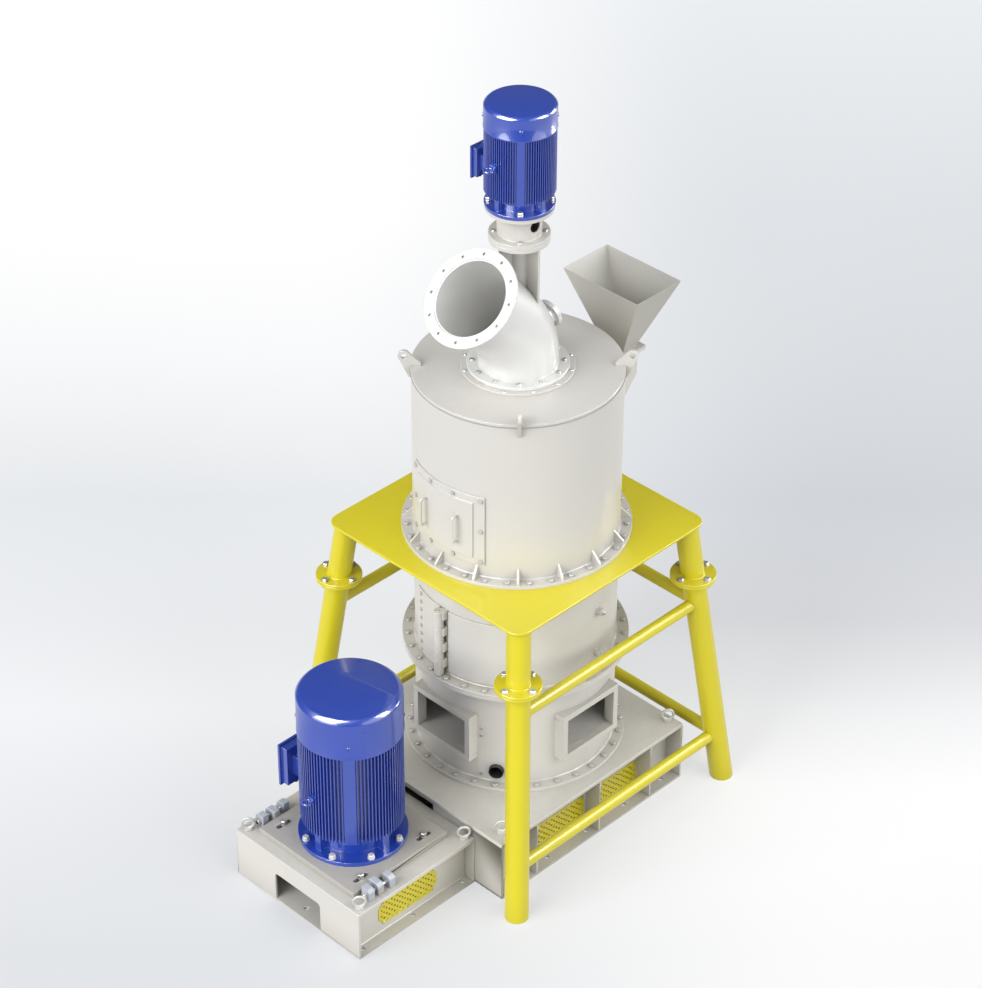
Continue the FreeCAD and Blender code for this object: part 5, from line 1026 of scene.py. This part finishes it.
def floor_material():
    """Floor paint, with a painted glow for the camera and in mirror images, and a plain look for light.
    """
    made, tree, place = blank_material("studio_floor")
    turn = add(tree, "ShaderNodeMapping", inputs={"Vector": place, "Rotation": (0, 0, -AZIMUTH)})
    spot = add(tree, "ShaderNodeSeparateXYZ", inputs={"Vector": turn.outputs["Vector"]})
    sideways = add(
        tree,
        "ShaderNodeMapRange",
        {"interpolation_type": "SMOOTHSTEP"},
        {"Value": spot.outputs["X"], "From Min": FADE_LEFT, "From Max": FADE_RIGHT},
    )
    near, far = LEFT_TONES[0][0], LEFT_TONES[-1][0]
    along = add(
        tree,
        "ShaderNodeMapRange",
        inputs={"Value": spot.outputs["Y"], "From Min": near, "From Max": far},
    )
    sides = []
    for tones in (LEFT_TONES, RIGHT_TONES):
        ramp = add(tree, "ShaderNodeValToRGB", inputs={"Fac": along.outputs["Result"]})
        stops = ramp.color_ramp.elements
        for distance, code in tones:
            share = (distance - near) / (far - near)
            if distance == near:
                stop = stops[0]
            elif distance == far:
                stop = stops[-1]
            else:
                stop = stops.new(share)
            stop.position = share
            stop.color = linear(code)
        sides.append(ramp.outputs["Color"])
    tone = add(
        tree,
        "ShaderNodeMix",
        {"data_type": "RGBA"},
        {0: sideways.outputs["Result"], 6: sides[0], 7: sides[1]},
    )
    lit = add(tree, "ShaderNodeBsdfDiffuse", inputs={"Color": linear(FLOOR_LIT)})
    glow = add(tree, "ShaderNodeEmission", inputs={"Color": tone.outputs[2]})
    seen = add(tree, "ShaderNodeAddShader", inputs={0: lit.outputs[0], 1: glow.outputs[0]})
    pale = add(tree, "ShaderNodeBsdfDiffuse", inputs={"Color": linear(FLOOR_PALE)})
    sheen = add(
        tree,
        "ShaderNodeEmission",
        inputs={"Color": linear("#FFFFFF"), "Strength": FLOOR_MIRRORED},
    )
    mirrored = add(tree, "ShaderNodeAddShader", inputs={0: pale.outputs[0], 1: sheen.outputs[0]})
    path = add(tree, "ShaderNodeLightPath")
    by_mirror = add(
        tree,
        "ShaderNodeMixShader",
        inputs={0: path.outputs["Is Glossy Ray"], 1: pale.outputs[0], 2: mirrored.outputs[0]},
    )
    mixed = add(
        tree,
        "ShaderNodeMixShader",
        inputs={0: path.outputs["Is Camera Ray"], 1: by_mirror.outputs[0], 2: seen.outputs[0]},
    )
    add(tree, "ShaderNodeOutputMaterial", inputs={"Surface": mixed.outputs[0]})
    return made


finished(floor_shape, "floor", floor_material())

# Studio light
# A white room that looks darker in mirror images than it shines, a broad light from the motor's side,
# a weaker one from the right, and three softboxes that only show as reflections on the gloss paint.

ROOM_LIGHT = 0.45
ROOM_MIRRORED = 0.14
world = bpy.data.worlds.new("studio")
bpy.context.scene.world = world
world.use_nodes = True
room = world.node_tree
room.nodes.clear()
shining = add(room, "ShaderNodeBackground", inputs={"Color": linear("#FFFFFF"), "Strength": ROOM_LIGHT})
mirrored_room = add(
    room,
    "ShaderNodeBackground",
    inputs={"Color": linear("#FFFFFF"), "Strength": ROOM_MIRRORED},
)
backdrop = add(room, "ShaderNodeBackground", inputs={"Color": linear("#F2F3F5")})
room_path = add(room, "ShaderNodeLightPath")
room_mix = add(
    room,
    "ShaderNodeMixShader",
    inputs={0: room_path.outputs["Is Glossy Ray"], 1: shining.outputs[0], 2: mirrored_room.outputs[0]},
)
seen_room = add(
    room,
    "ShaderNodeMixShader",
    inputs={0: room_path.outputs["Is Camera Ray"], 1: room_mix.outputs[0], 2: backdrop.outputs[0]},
)
add(room, "ShaderNodeOutputWorld", inputs={"Surface": seen_room.outputs[0]})


def light(name, kind, place, aim, **settings):
    """A lamp with its settings, turned from its place towards a point."""
    lamp = bpy.data.lights.new(name, kind)
    for setting, value in settings.items():
        setattr(lamp, setting, value)
    stand = bpy.data.objects.new(name, lamp)
    bpy.context.scene.collection.objects.link(stand)
    stand.location = place
    stand.rotation_euler = (Vector(aim) - Vector(place)).to_track_quat("-Z", "Y").to_euler()
    return stand


light("key", "SUN", (-1.2, -10.0, 5.0), (0, 0, 0), energy=2.4, angle=math.radians(50))
light("fill", "SUN", (10.0, 2.5, 5.0), (0, 0, 0), energy=1.6, angle=math.radians(60))
# Each softbox's direction from the mill, its width and its height
SOFTBOXES = (
    ((-0.108, -0.658, 0.746), 5.0, 6.5),
    ((0.65, 0.38, 0.661), 3.0, 5.0),
    ((0.349, 0.855, 0.38), 3.0, 4.5),
)
SOFTBOX_DISTANCE = 8.0
SOFTBOX_ENERGY = 60
SOFTBOX_AIM = Z_AXIS * 2.4
for number, (direction, wide, tall) in enumerate(SOFTBOXES):
    box = light(
        f"softbox_{number}",
        "AREA",
        Vector(direction) * SOFTBOX_DISTANCE + SOFTBOX_AIM,
        SOFTBOX_AIM,
        energy=SOFTBOX_ENERGY * wide * tall,
        shape="RECTANGLE",
        size=wide,
        size_y=tall,
    )
    box.visible_diffuse = False

# Camera
# A long lens that looks down from the corner between the motor and the right-hand inlet, turned a
# fifth of a degree about its own axis.

ELEVATION = math.radians(35.2796)
ROLL = math.radians(0.2164)
LENS = 112.73
AIM = Vector((-0.10887, -0.10729, 2.15758))
DISTANCE = 18.26532
flat = math.cos(ELEVATION)
back = Vector((math.sin(AZIMUTH) * flat, -math.cos(AZIMUTH) * flat, math.sin(ELEVATION)))
level = Vector((math.cos(AZIMUTH), math.sin(AZIMUTH), 0))
rise = back.cross(level)
right = level * math.cos(ROLL) + rise * math.sin(ROLL)
up = rise * math.cos(ROLL) - level * math.sin(ROLL)
lens = bpy.data.cameras.new("camera")
lens.lens = LENS
camera = bpy.data.objects.new("camera", lens)
bpy.context.scene.collection.objects.link(camera)
turned = Matrix((right, up, back)).transposed().to_4x4()
camera.matrix_world = Matrix.Translation(AIM + back * DISTANCE) @ turned
bpy.context.scene.camera = camera
bpy.context.scene.view_settings.view_transform = "Standard"
